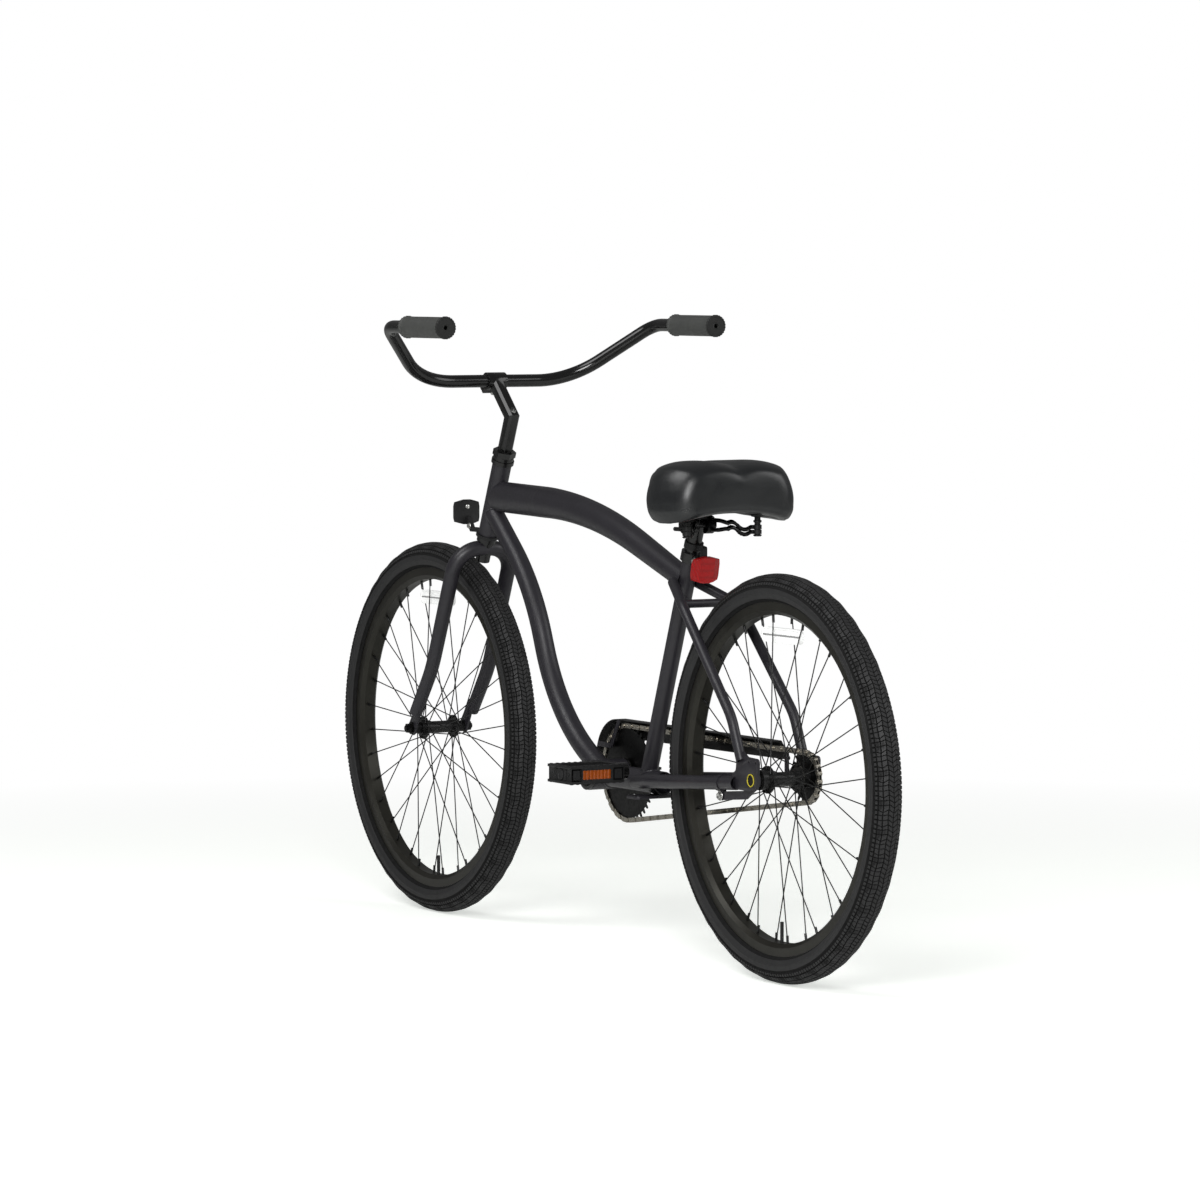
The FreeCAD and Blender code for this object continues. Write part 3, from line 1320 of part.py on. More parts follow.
# Fork and headset
def fork():
    bottom = S.fork_length - S.steerer_foot
    length = steerer_top - bottom
    bore = S.quill_radius + S.running_gap
    steerer = rod(on_head(bottom), on_head(steerer_top), S.steerer_radius)
    steerer = steerer.cut(rod(on_head(bottom - S.overrun), on_head(steerer_top + S.overrun), bore))
    node("fork_steerer", single(steerer))
    crown = S.fork_length - S.crown_drop
    blades = []
    ends = []
    for side in (1, -1):
        points = [on_head(crown), on_head(crown, 0, S.blade_spread * side),
                  on_head(S.blade_rake_rise, 0, S.blade_tip_spread * side),
                  on_head(S.blade_tip_rise, S.blade_tip_ahead, S.blade_tip_spread * side)]
        edges = rounded(points, [S.crown_bend_radius, S.blade_rake_bend])
        tube = bar(edges, S.blade_radius, S.blade_tip_radius)
        tube = tube.cut(bar(edges, S.blade_radius - S.blade_wall, S.blade_tip_radius - S.blade_wall))
        tube = tube.cut(rod(on_head(bottom - length), on_head(steerer_top),
                            S.steerer_radius + S.weld_gap))
        inner = S.front_lock_half if side == 1 else -S.front_lock_half - S.fork_end_thickness
        push = LEFT * S.fork_end_thickness
        axle = FRONT + LEFT * inner
        tang = on_head(S.fork_end_tang_rise, S.blade_tip_ahead, inner)
        end = link_plate(axle, tang, S.fork_end_radius, S.fork_end_tang_radius, push)
        through = LEFT * S.overrun
        hole = S.front_axle_radius + S.weld_gap
        slot = link_plate(axle - through, axle - through - HEAD_UP * S.fork_end_radius * 2, hole, hole,
                          push + through * 2)
        end = end.cut(slot)
        roomy = link_plate(axle - LEFT * S.weld_gap, tang - LEFT * S.weld_gap,
                           S.fork_end_radius + S.weld_gap, S.fork_end_tang_radius + S.weld_gap,
                           push + LEFT * S.weld_gap * 2)
        blades.append(single(tube.cut(roomy)))
        ends.append(single(end))
    node("fork_blades", Part.makeCompound(blades))
    node("fork_ends", Part.makeCompound(ends))


def headset():
    press = "head_tube_bore - press_gap"
    upper = [("cup_bore", "- cup_depth"), (press, "- cup_depth"), (press, "0"), ("cup_radius", "0"),
             ("cup_radius", "cup_lip"), ("cup_cavity_radius", "cup_lip"),
             ("cup_cavity_radius", "cup_lip / 3"), ("cup_bore", "cup_lip / 3")]
    lower = [("cup_bore", "- cup_depth"), (press, "- cup_depth"), (press, "0"),
             ("lower_cup_radius", "0"), ("lower_cup_radius", "lower_cup_lip"),
             ("cup_cavity_radius", "lower_cup_lip"), ("cup_cavity_radius", "lower_cup_lip / 4"),
             ("cup_bore", "lower_cup_lip / 4")]
    cups = [turned("upper_cup", upper, on_head(head_top), HEAD_UP),
            turned("lower_cup", lower, on_head(head_low), -HEAD_UP)]
    node("headset_cups", group("headset_cups", *cups))
    bore = "steerer_radius + press_gap"
    ball_major = "steerer_radius / 2 + cup_cavity_radius / 2"
    upper_balls = head_top + S.cup_lip - S.headset_ball_radius
    lower_balls = head_low - S.lower_cup_lip + S.headset_ball_radius
    races = [
        ring_of_balls("upper_balls", ball_major, "headset_ball_radius", on_head(upper_balls), HEAD_UP),
        ring_of_balls("lower_balls", ball_major, "headset_ball_radius", on_head(lower_balls), HEAD_UP),
        sleeve("upper_race", bore, "race_radius", "cup_lip + open_gap",
               "cup_lip + open_gap + race_height", on_head(head_top), HEAD_UP),
        sleeve("crown_race", bore, "crown_race_radius", "0",
               "lower_stack - lower_cup_lip - open_gap", on_head(S.fork_length), HEAD_UP),
    ]
    nut_low = head_top + size("cup_lip + open_gap + race_height")
    races.append(hexagon("headset_locknut", "locknut_radius", bore,
                         "upper_stack - cup_lip - open_gap - race_height",
                         on_head(nut_low), HEAD_UP))
    node("headset_races", group("headset_races", *races))


# Stem, handlebar and grips
def stem_section(middle, side_axis, depth_axis):
    """An eight-sided section, flat sides with cut corners."""
    wide = S.stem_half_width
    deep = S.stem_half_depth
    nip = S.stem_chamfer
    corners = [(wide, deep - nip), (wide - nip, deep), (nip - wide, deep), (-wide, deep - nip),
               (-wide, nip - deep), (nip - wide, -deep), (wide - nip, -deep), (wide, nip - deep)]
    points = [middle + side_axis * across + depth_axis * down for across, down in corners]
    return Part.makePolygon(points + points[:1])


def stem():
    low = on_head(steerer_top + S.stem_lift)
    arm = (CLAMP - STEM_KNEE).normalize()
    seam = (HEAD_UP + arm).normalize()
    seam_out = LEFT.cross(seam).normalize()
    stretch = 1 / seam.dot(HEAD_UP)
    arm_out = LEFT.cross(arm).normalize()
    sections = [stem_section(low, LEFT, HEAD_OUT)]
    sections.append(stem_section(STEM_KNEE, LEFT, seam_out * stretch))
    sections.append(stem_section(CLAMP, LEFT, arm_out))
    body = Part.makeLoft(sections[:2], True, True).fuse(Part.makeLoft(sections[1:], True, True))
    quill_low = on_head(steerer_top - S.quill_depth)
    body = body.fuse(rod(quill_low, low + HEAD_UP * S.stem_half_width, S.quill_radius))
    side = LEFT * S.clamp_half_width
    body = body.fuse(rod(CLAMP - side, CLAMP + side, S.clamp_radius))
    # Pinch ears below the bar, in front of the arm
    ear_axis = arm_out if arm_out.z < 0 else arm_out * -1
    ear_size = Vector(S.clamp_ear_depth, S.clamp_half_width * 2, S.clamp_ear_length)
    ear = Part.makeBox(ear_size.x, ear_size.y, ear_size.z,
                       Vector(-ear_size.x / 2, -ear_size.y / 2, 0))
    ear.Placement = FreeCAD.Placement(CLAMP, turn_to(ear_axis))
    body = body.fuse(ear)
    cut_axis = LEFT * (S.clamp_half_width + S.overrun)
    body = body.cut(rod(CLAMP - cut_axis, CLAMP + cut_axis, S.bar_radius + S.running_gap))
    slit = Part.makeBox(S.clamp_slit, S.clamp_half_width * 2 + S.overrun, S.clamp_ear_length * 2,
                        Vector(-S.clamp_slit / 2, -S.clamp_half_width - S.overrun / 2, 0))
    slit.Placement = FreeCAD.Placement(CLAMP, turn_to(ear_axis))
    body = body.cut(slit)
    bolt_middle = CLAMP + ear_axis * (S.clamp_ear_length - S.clamp_bolt_head)
    across = ear.Placement.Rotation.multVec(AHEAD)
    reach = across * S.clamp_ear_depth / 2
    body = body.cut(rod(bolt_middle - reach * 2, bolt_middle + reach * 2,
                        S.clamp_bolt_radius + S.weld_gap))
    head_low_end = STEM_KNEE + HEAD_UP * S.stem_half_depth / 2
    well = rod(head_low_end, head_low_end + HEAD_UP * S.stem_reach,
               S.stem_bolt_head_radius + S.weld_gap)
    body = body.cut(well)
    body = body.cut(rod(quill_low - HEAD_UP * S.overrun, STEM_KNEE + HEAD_UP * S.stem_half_depth,
                        S.quill_bore))
    node("stem", single(body))
    # Expander bolt, its wedge and the clamp bolt
    wedge_low = on_head(steerer_top - S.quill_depth - S.open_gap - S.wedge_height)
    wedge = rod(wedge_low, wedge_low + HEAD_UP * S.wedge_height, S.quill_radius - S.running_gap)
    wedge = wedge.cut(rod(wedge_low, wedge_low + HEAD_UP * S.wedge_height,
                          S.stem_bolt_radius + S.press_gap))
    bolt = rod(wedge_low, head_low_end, S.stem_bolt_radius)
    bolt = bolt.fuse(rod(head_low_end, head_low_end + HEAD_UP * S.stem_bolt_head_height,
                         S.stem_bolt_head_radius))
    head = across * S.clamp_bolt_head_height
    pinch = rod(bolt_middle - reach, bolt_middle + reach, S.clamp_bolt_radius)
    for end, push in ((bolt_middle + reach, head), (bolt_middle - reach, head * -1)):
        pinch = pinch.fuse(rod(end, end + push, S.clamp_bolt_head))
    node("stem_bolts", Part.makeCompound([wedge, single(bolt), single(pinch)]))


def handlebar():
    half = []
    for side in (1, -1):
        half.append([CLAMP + Vector(-S.bar_end_sweep, S.bar_half_width * side, S.bar_rise),
                     CLAMP + Vector(-S.bar_corner_sweep, S.bar_half_width * side, S.bar_rise),
                     CLAMP + Vector(0, S.bar_centre_half * side, 0)])
    points = half[0] + half[1][::-1]
    bends = [S.bar_high_bend, S.bar_low_bend, S.bar_low_bend, S.bar_high_bend]
    edges = rounded(points, bends)
    tube = bar(edges, S.bar_radius).cut(bar(edges, S.bar_radius - S.bar_wall))
    node("handlebar", single(tube))
    bore = "bar_radius + press_gap"
    corners = [(bore, "0"), ("grip_flange_radius", "0"), ("grip_flange_radius", "grip_flange_width"),
               ("grip_radius", "grip_flange_width + grip_edge"),
               ("grip_radius", "grip_length - grip_edge"), ("grip_radius - grip_edge", "grip_length"),
               ("grip_hole_radius", "grip_length"), ("grip_hole_radius", "grip_length - grip_cap"),
               (bore, "grip_length - grip_cap")]
    grips = []
    for points, name in ((half[0], "left"), (half[1], "right")):
        start = points[0] + AHEAD * (S.grip_length - S.grip_cap - S.press_gap)
        grips.append(turned("grip_" + name, corners, start, -AHEAD))
    node("grips", group("grips", *grips))


# Seat post and saddle
def seat_post():
    radius = S.seat_tube_radius - S.tube_wall - S.running_gap
    low = on_seat(seat_top - S.post_depth)
    post = rod(low, SADDLE_PIVOT, radius)
    post = post.cut(rod(low, SADDLE_PIVOT - SEAT_UP * S.post_rise / 2, radius - S.post_wall))
    half = LEFT * S.post_lug_half
    far = LEFT * S.rear_lock_half
    room = rod(SADDLE_PIVOT - far, SADDLE_PIVOT + far, S.cheek_radius + S.open_gap)
    lug = rod(SADDLE_PIVOT - half, SADDLE_PIVOT + half, S.post_lug_radius)
    side_slab = Part.makeBox(S.rear_lock_half, S.rear_lock_half, S.rear_lock_half)
    neck = post.common(room)
    for side in (1, -1):
        slab = side_slab.copy()
        left = S.post_lug_half if side == 1 else -S.post_lug_half - S.rear_lock_half
        slab.translate(SADDLE_PIVOT + Vector(-S.rear_lock_half / 2, left, -S.rear_lock_half / 2))
        neck = neck.cut(slab)
    post = post.cut(room).fuse(neck).fuse(lug)
    post = post.cut(rod(SADDLE_PIVOT - far, SADDLE_PIVOT + far, S.saddle_bolt_radius + S.running_gap))
    node("seat_post", single(post.removeSplitter()))


def saddle_clamp():
    """Two cheeks on a cross bolt through the post's lug, each holding a rail."""
    made = []
    for side in (1, -1):
        near = SADDLE_PIVOT + LEFT * S.cheek_inner * side
        far = SADDLE_PIVOT + LEFT * S.cheek_outer * side
        cheek = rod(near, far, S.cheek_radius)
        run = AHEAD * S.rail_flat_half
        for lift in (S.rail_lift, -S.rail_lift):
            rail = SADDLE_PIVOT + Vector(0, S.rail_spread * side, lift)
            cheek = cheek.cut(rod(rail - run, rail + run, S.rail_radius + S.running_gap))
        cheek = cheek.cut(rod(near, far, S.saddle_bolt_radius + S.press_gap))
        made.append(cheek)
    reach = LEFT * S.cheek_outer
    head = LEFT * S.saddle_bolt_head_height
    bolt = rod(SADDLE_PIVOT - reach, SADDLE_PIVOT + reach, S.saddle_bolt_radius)
    bolt = bolt.fuse(rod(SADDLE_PIVOT + reach, SADDLE_PIVOT + reach + head, S.saddle_bolt_head))
    bolt = bolt.fuse(rod(SADDLE_PIVOT - reach - head, SADDLE_PIVOT - reach, S.saddle_bolt_head))
    node("saddle_clamp", Part.makeCompound(made + [single(bolt)]))


def saddle_section(shares, tail, floor):
    """One closed section across the saddle, from arcs that make its skirt, sides and two lobes."""
    along, wide, top, valley, skirt, arch = shares
    x = tail.x + along * S.saddle_length
    half = wide * S.saddle_half_width

    def at(across, height):
        return Vector(x, across, floor + height * S.saddle_height)

    foot = SADDLE_SKIRT_SHARE * half
    shoulder = SADDLE_SHOULDER_SHARE * half
    lobe = SADDLE_LOBE_SHARE * half
    ledge = top - SADDLE_SHOULDER_DROP_SHARE
    middle = skirt + (ledge - skirt) * SADDLE_WIDEST_SHARE
    edges = [Part.Arc(at(-foot, skirt), at(0, arch), at(foot, skirt)).toShape()]
    edges.append(Part.Arc(at(foot, skirt), at(half, middle), at(shoulder, ledge)).toShape())
    edges.append(Part.Arc(at(shoulder, ledge), at(lobe, top), at(0, valley)).toShape())
    edges.append(Part.Arc(at(0, valley), at(-lobe, top), at(-shoulder, ledge)).toShape())
    edges.append(Part.Arc(at(-shoulder, ledge), at(-half, middle), at(-foot, skirt)).toShape())
    return Part.Wire(edges)


def saddle():
    """Pad with two lobes, base plate, wire rails and the two rear bumpers."""
    tail = SADDLE_PIVOT - AHEAD * S.saddle_rear_run
    base_low = SADDLE_PIVOT.z + S.saddle_base_lift
    floor = base_low - S.saddle_skirt
    pad = Part.makeLoft([saddle_section(shares, tail, floor) for shares in SADDLE_SHARES], True, False)
    right = [Vector(tail.x + along * S.saddle_length, -wide * S.saddle_half_width, base_low)
             for along, wide in SADDLE_BASE_SHARES]
    left = [sided(place, -1) for place in reversed(right)]
    corner = S.bumper_cap_radius
    radii = [corner] * len(right + left)
    base = plate(right + left, radii, UP * S.saddle_base_thickness)
    seat_room = plate(right + left, radii,
                      UP * (S.saddle_base_thickness + S.saddle_skirt * 2 + S.open_gap))
    seat_room.translate(-UP * S.saddle_skirt * 2)
    grown = Part.makeCompound([seat_room])
    for shift in (AHEAD, -AHEAD, LEFT, -LEFT):
        moved = seat_room.copy()
        moved.translate(shift * S.open_gap)
        grown = grown.fuse(moved)
    node("saddle_pad", single(pad.cut(grown)))
    node("saddle_base", base)
    rails = []
    bumpers = []
    for side in (1, -1):
        def at(ahead, across, up):
            return SADDLE_PIVOT + Vector(ahead, across * side, up)

        inset = S.bumper_spread - S.bumper_cap_radius
        tip = S.saddle_base_lift - S.open_gap - S.rail_radius
        nose = at(S.rail_front_run, S.rail_front_spread, tip)
        high = [nose, at(S.rail_flat_half + S.rail_bend, S.rail_spread, S.rail_lift),
                at(-S.rail_flat_half, S.rail_spread, S.rail_lift),
                at(-S.rail_wave_run, S.rail_wave_spread, -S.rail_end_drop),
                at(-S.bumper_run, inset, -S.rail_end_drop)]
        low = -S.rail_lift - S.rail_end_drop
        deep = [at(S.rail_flat_half, S.rail_spread, -S.rail_lift),
                at(-S.rail_low_flat, S.rail_spread, -S.rail_lift),
                at(-S.rail_crest_run, S.rail_spread + S.rail_pair_gap, S.rail_wave_rise - S.rail_lift),
                at(-S.rail_wave_run, S.rail_wave_spread, low),
                at(-S.bumper_run, inset, low)]
        pair = [bar(rounded(points, [S.rail_bend] * 3), S.rail_radius) for points in (high, deep)]
        rails += pair
        middle = at(-S.bumper_run, S.bumper_spread, S.saddle_base_lift)
        foot = at(-S.bumper_run, S.bumper_spread, low - S.rail_radius - S.bumper_cap)
        post = rod(foot, middle - UP * S.press_gap, S.bumper_radius)
        for flat in (foot, middle - UP * (S.bumper_cap + S.press_gap)):
            post = post.fuse(rod(flat, flat + UP * S.bumper_cap, S.bumper_cap_radius))
        bumpers.append(single(post))
    node("saddle_rails", Part.makeCompound(rails))
    node("saddle_bumpers", Part.makeCompound(bumpers))


# Reflectors
def reflector_block(face, out):
    """A reflector with rounded corners; out points away from its mounting face."""
    across = S.reflector_width / 2
    tall = S.reflector_height / 2
    over = out.cross(LEFT)
    corners = [face + LEFT * across * a + over * tall * b
               for a, b in ((1, 1), (-1, 1), (-1, -1), (1, -1))]
    return plate(corners, [S.reflector_corner] * 4, out * S.reflector_depth)


def rear_reflector():
    band_low = seat_top + S.rear_band_lift - S.rear_band_height / 2
    radius = S.seat_tube_radius - S.tube_wall - S.running_gap
    low = on_seat(band_low)
    top = on_seat(band_low + S.rear_band_height)
    middle = (low + top) / 2
    face = middle - AHEAD * S.rear_reflector_run - UP * S.rear_reflector_drop
    node("rear_reflector", reflector_block(face, -AHEAD))
    band = rod(low, top, S.rear_band_radius)
    root = middle - SEAT_OUT * (S.rear_band_radius - S.weld_gap)
    half = S.bracket_arm_half
    tip = face + UP * S.reflector_height / 4 + AHEAD * (half + S.press_gap)
    knee = Vector(tip.x, 0, root.z)
    side = LEFT * half
    arm = link_plate(middle - side, knee - side, half, half, side * 2)
    arm = arm.fuse(link_plate(knee - side, tip - side, half, half, side * 2))
    bore = rod(low - SEAT_UP * S.overrun, top + SEAT_UP * S.overrun, radius + S.press_gap)
    node("rear_reflector_bracket", single(band.fuse(arm).cut(bore)))


def front_reflector():
    low = on_head(head_low - S.front_band_height - S.weld_gap)
    top = on_head(head_low - S.weld_gap)
    band = rod(low, top, S.front_band_radius)
    middle = (low + top) / 2
    half = S.bracket_arm_half
    face = middle + AHEAD * S.front_reflector_ahead + UP * S.front_reflector_rise
    node("front_reflector", reflector_block(face, AHEAD))
    tip = face - UP * S.reflector_height / 4 - AHEAD * (half + S.press_gap)
    root = middle + HEAD_OUT * S.front_band_radius
    knee = root + AHEAD * (S.front_reflector_ahead / 2)
    side = LEFT * half
    arm = link_plate(root - side, knee - side, half, half, side * 2)
    arm = arm.fuse(link_plate(knee - side, tip - side, half, half, side * 2))
    bore = rod(low - HEAD_UP * S.overrun, top + HEAD_UP * S.overrun, S.lower_cup_radius + S.press_gap)
    node("front_reflector_bracket", single(band.fuse(arm).cut(bore)))


def build():
    wheel("front", FRONT, S.front_flange_offset, S.front_flange_radius)
    front_hub()
    wheel("rear", REAR, S.rear_flange_offset, S.rear_flange_radius)
    rear_hub()
    chain_drive()
    crank()
    bottom_bracket()
    pedals()
    frame()
    brake_arm()
    chain_guard()
    fork()
    headset()
    stem()
    handlebar()
    seat_post()
    saddle_clamp()
    saddle()
    rear_reflector()
    front_reflector()
    doc.recompute()


def write():
    """Check every object and sub-part, then write one file per sub-part."""
    for item in doc.Objects:
        if "Invalid" in item.State or "Error" in item.State:
            raise RuntimeError("failed object " + item.Name)
    for name, item in nodes.items():
        if item.Shape.isNull() or not item.Shape.isValid() or not item.Shape.Solids:
            raise RuntimeError("bad sub-part " + name)
    os.makedirs("parts", exist_ok=True)
    for name, item in nodes.items():
        item.Shape.exportStep(f"parts/{name}.step")


build()
write()
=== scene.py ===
import math

import bmesh
import bpy
from bpy.props import FloatProperty, FloatVectorProperty, IntProperty, PointerProperty
from bpy.types import Operator, Panel, PropertyGroup
from mathutils import Matrix, Vector


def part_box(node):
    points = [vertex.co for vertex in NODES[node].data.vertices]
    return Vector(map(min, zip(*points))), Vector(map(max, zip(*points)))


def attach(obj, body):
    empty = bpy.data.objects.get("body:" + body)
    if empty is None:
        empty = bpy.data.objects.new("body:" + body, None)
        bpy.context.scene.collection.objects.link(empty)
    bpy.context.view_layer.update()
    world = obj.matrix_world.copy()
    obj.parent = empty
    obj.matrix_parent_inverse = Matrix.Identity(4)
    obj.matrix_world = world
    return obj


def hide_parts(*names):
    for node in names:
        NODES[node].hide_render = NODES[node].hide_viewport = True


bl_info = {
    "name": "Beach cruiser bicycle",
    "version": (1, 0, 0),
    "blender": (4, 5, 0),
    "location": "View3D > Sidebar > Cruiser",
    "description": "Dresses a cruiser bicycle with tread, padding, lenses, welds and finishes",
    "category": "Object",
}

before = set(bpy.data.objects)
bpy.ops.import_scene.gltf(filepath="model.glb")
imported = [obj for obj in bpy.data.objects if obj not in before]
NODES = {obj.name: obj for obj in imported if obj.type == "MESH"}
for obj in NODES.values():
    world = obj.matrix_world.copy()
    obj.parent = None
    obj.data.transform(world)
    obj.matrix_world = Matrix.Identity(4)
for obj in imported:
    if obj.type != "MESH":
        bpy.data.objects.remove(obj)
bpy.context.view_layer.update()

# Places and sizes of the CAD part, in metres
REAR_AXLE = Vector((-0.5843, 0.0, 0.3325))
FRONT_AXLE = Vector((0.5843, 0.0, 0.3325))
BOTTOM_BRACKET = Vector((-0.015469, 0.0, 0.295))
HEAD_UP = Vector((-0.385262, 0.0, 0.922807))
HEAD_LOW = Vector((0.399205, 0.0, 0.687601))
HEAD_FOOT = Vector((0.552925, 0.0, 0.319401))
SEAT_UP = Vector((-0.348572, 0.0, 0.937282))
SEAT_FOOT = Vector((-0.155469, 0.0, 0.295))
TYRE_RADIUS = 0.3325
TYRE_HALF = 0.0267
GRIP_CENTRE = Vector((0.0, 0.266, 1.055198))
GRIP_REAR = 0.0617
BRACKET_HALF = 0.004
LEFT_PEDAL = Vector((-0.184053, 0.1359, 0.316895))
RIGHT_PEDAL = Vector((0.153115, -0.1359, 0.273105))
PEDAL_HALF = Vector((0.038, 0.052, 0.015))
ACROSS = Vector((0.0, 1.0, 0.0))
AHEAD = Vector((1.0, 0.0, 0.0))
UP = Vector((0.0, 0.0, 1.0))
ORIGIN = (0.0, 0.0, 0.0)
MERGE_GAP = 0.000002
WHITE = (1.0, 1.0, 1.0, 1.0)

# The camera that the photograph was taken with
CAMERA_PLACE = Vector((-8.2513, 4.772, 1.171))
CAMERA_RIGHT = Vector((-0.50045, -0.86577, 0.0))
CAMERA_AHEAD = Vector((0.86418, -0.49953, -0.0607))
CAMERA_LENS = 168.23
CAMERA_SENSOR = 36.0
CAMERA_REACH = 200.0


# Sizes and colours that a user would change
class CruiserSizes(PropertyGroup):
    """Sizes of the pieces that are modelled here."""

    tread_depth: FloatProperty(
        name="Tread depth", description="Height of the tread's blocks", default=0.0021, unit="LENGTH")
    tread_groove: FloatProperty(
        name="Tread groove", description="Half the gap between two blocks", default=0.0008, unit="LENGTH")
    tread_rows: IntProperty(
        name="Tread rows", description="Blocks round the whole tyre, in sixes", default=264)
    pad_voxel: FloatProperty(
        name="Pad voxel", description="Mesh size of the saddle's pad", default=0.004, unit="LENGTH")
    pad_room: FloatProperty(
        name="Pad room", description="How far the pad is drawn in before it is filled",
        default=0.0015, unit="LENGTH")
    pad_swell: FloatProperty(
        name="Pad swell", description="The most that the filling moves the cover",
        default=0.005, unit="LENGTH")
    wire_wave: FloatProperty(
        name="Wire wave", description="Height of the wave in the saddle's wires",
        default=0.0045, unit="LENGTH")
    flute_count: IntProperty(
        name="Grip flutes", description="Scallops round a grip's end", default=24)
    bead_radius: FloatProperty(
        name="Weld bead", description="Half the width of a weld bead", default=0.0022, unit="LENGTH")


class CruiserColours(PropertyGroup):
    """Colours of the finishes."""

    paint: FloatVectorProperty(
        name="Frame paint", description="Matt paint of the frame and fork", subtype="COLOR",
        default=(0.0175, 0.0163, 0.0205))
    gloss: FloatVectorProperty(
        name="Gloss black", description="Bar, stem and other gloss black steel", subtype="COLOR",
        default=(0.005, 0.005, 0.005))
    rubber: FloatVectorProperty(
        name="Tyre rubber", description="Tyres", subtype="COLOR", default=(0.016, 0.016, 0.0165))
    rim: FloatVectorProperty(
        name="Rim", description="Dark anodised rims", subtype="COLOR", default=(0.026, 0.025, 0.020))
    vinyl: FloatVectorProperty(
        name="Vinyl", description="Saddle cover", subtype="COLOR", default=(0.0085, 0.0094, 0.0103))
    grip: FloatVectorProperty(
        name="Grip rubber", description="Grips", subtype="COLOR", default=(0.060, 0.062, 0.059))
    plastic: FloatVectorProperty(
        name="Plastic", description="Pedals and housings", subtype="COLOR", default=(0.010, 0.010, 0.0105))
    red: FloatVectorProperty(
        name="Red lens", description="Rear reflector", subtype="COLOR", default=(0.36, 0.004, 0.005))
    amber: FloatVectorProperty(
        name="Amber lens", description="Pedal reflectors", subtype="COLOR", default=(0.31, 0.058, 0.0006))
    clear: FloatVectorProperty(
        name="Clear lens", description="Spoke and front reflectors", subtype="COLOR",
        default=(0.90, 0.91, 0.90))
    seal: FloatVectorProperty(
        name="Seal", description="Seal ring at the rear axle", subtype="COLOR", default=(0.55, 0.46, 0.03))


def sizes():
    return bpy.context.scene.cruiser_sizes


def colours():
    return bpy.context.scene.cruiser_colours


def box_of(node):
    """Low and high corners of a CAD node."""
    return [Vector(corner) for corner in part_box(node)]


# Modelling by hand
def leave():
    """Goes back to object mode."""
    if bpy.context.object and bpy.context.object.mode != "OBJECT":
        bpy.ops.object.mode_set(mode="OBJECT")


def clear_selection():
    """Leaves edit mode and deselects every object."""
    leave()
    bpy.ops.object.select_all(action="DESELECT")


def take_up(piece):
    """Makes one piece the only selected and active object."""
    clear_selection()
    piece.select_set(True)
    bpy.context.view_layer.objects.active = piece


def edit(piece):
    """Opens a piece in edit mode with all of it selected."""
    take_up(piece)
    bpy.ops.object.mode_set(mode="EDIT")
    bpy.ops.mesh.select_mode(type="VERT")
    bpy.ops.mesh.select_all(action="SELECT")


def named(name):
    """Names the active object and its mesh."""
    piece = bpy.context.object
    piece.name = name
    piece.data.name = name
    return piece


def choose(piece, kind, test):
    """Selects the vertices or faces, in edit mode, whose place and normal pass a test."""
    bpy.ops.mesh.select_mode(type=kind)
    bpy.ops.mesh.select_all(action="DESELECT")
    mesh = bmesh.from_edit_mesh(piece.data)
    mesh.normal_update()
    for item in (mesh.verts if kind == "VERT" else mesh.faces):
        place = item.co if kind == "VERT" else item.calc_center_median()
        if test(place, item.normal):
            item.select_set(True)
    mesh.select_flush_mode()
    bmesh.update_edit_mesh(piece.data)


def merge():
    """Merges the doubles of the open piece and leaves all of it selected."""
    bpy.ops.mesh.select_mode(type="VERT")
    bpy.ops.mesh.select_all(action="SELECT")
    bpy.ops.mesh.remove_doubles(threshold=MERGE_GAP)


def close_up():
    """Merges the doubles of the open piece and turns its faces outwards."""
    merge()
    bpy.ops.mesh.normals_make_consistent(inside=False)


def outline(name, points, closed=True):
    """A wire drawn by extruding one vertex from point to point. It stays in edit mode."""
    clear_selection()
    bpy.ops.mesh.primitive_plane_add(size=0.001, location=ORIGIN)
    piece = named(name)
    edit(piece)
    bpy.ops.mesh.merge(type="CENTER")
    bpy.ops.transform.translate(value=points[0])
    if closed:
        points = points + [points[0]]
    for here, there in zip(points, points[1:]):
        bpy.ops.mesh.extrude_region_move(TRANSFORM_OT_translate={"value": Vector(there) - Vector(here)})
    merge()
    return piece


def spun(name, profile, centre, axis, steps, closed=True):
    """A profile of places along an axis and radii, turned a whole turn. It stays in edit mode."""
    out = AHEAD if axis == UP else UP
    piece = outline(name, [centre + axis * along + out * radius for along, radius in profile], closed)
    bpy.ops.mesh.spin(steps=steps, angle=math.tau, center=centre, axis=axis)
    close_up()
    return piece


def drawn_out(name, points, push):
    """A flat outline filled and extruded by a push. It stays in edit mode."""
    piece = outline(name, points)
    bpy.ops.mesh.edge_face_add()
    bpy.ops.mesh.extrude_region_move(TRANSFORM_OT_translate={"value": push})
    close_up()
    return piece


def box_piece(name, low, high):
    """A box between two corners, as a start for a piece. It stays in edit mode."""
    low, high = Vector(low), Vector(high)
    clear_selection()
    bpy.ops.mesh.primitive_cube_add(size=1.0, location=ORIGIN)
    piece = named(name)
    edit(piece)
    bpy.ops.transform.resize(value=high - low)
    bpy.ops.transform.translate(value=(low + high) / 2)
    return piece


def shade(piece, angle=35.0):
    """Leaves edit mode and shades the piece smooth, with edges past an angle left crisp."""
    take_up(piece)
    bpy.ops.object.shade_smooth_by_angle(angle=math.radians(angle))
    return piece


def modifier(piece, kind, **values):
    """Adds a modifier, sets its values and applies it."""
    take_up(piece)
    made = piece.modifiers.new(kind.title(), kind)
    for key, value in values.items():
        setattr(made, key, value)
    bpy.ops.object.modifier_apply(modifier=made.name)


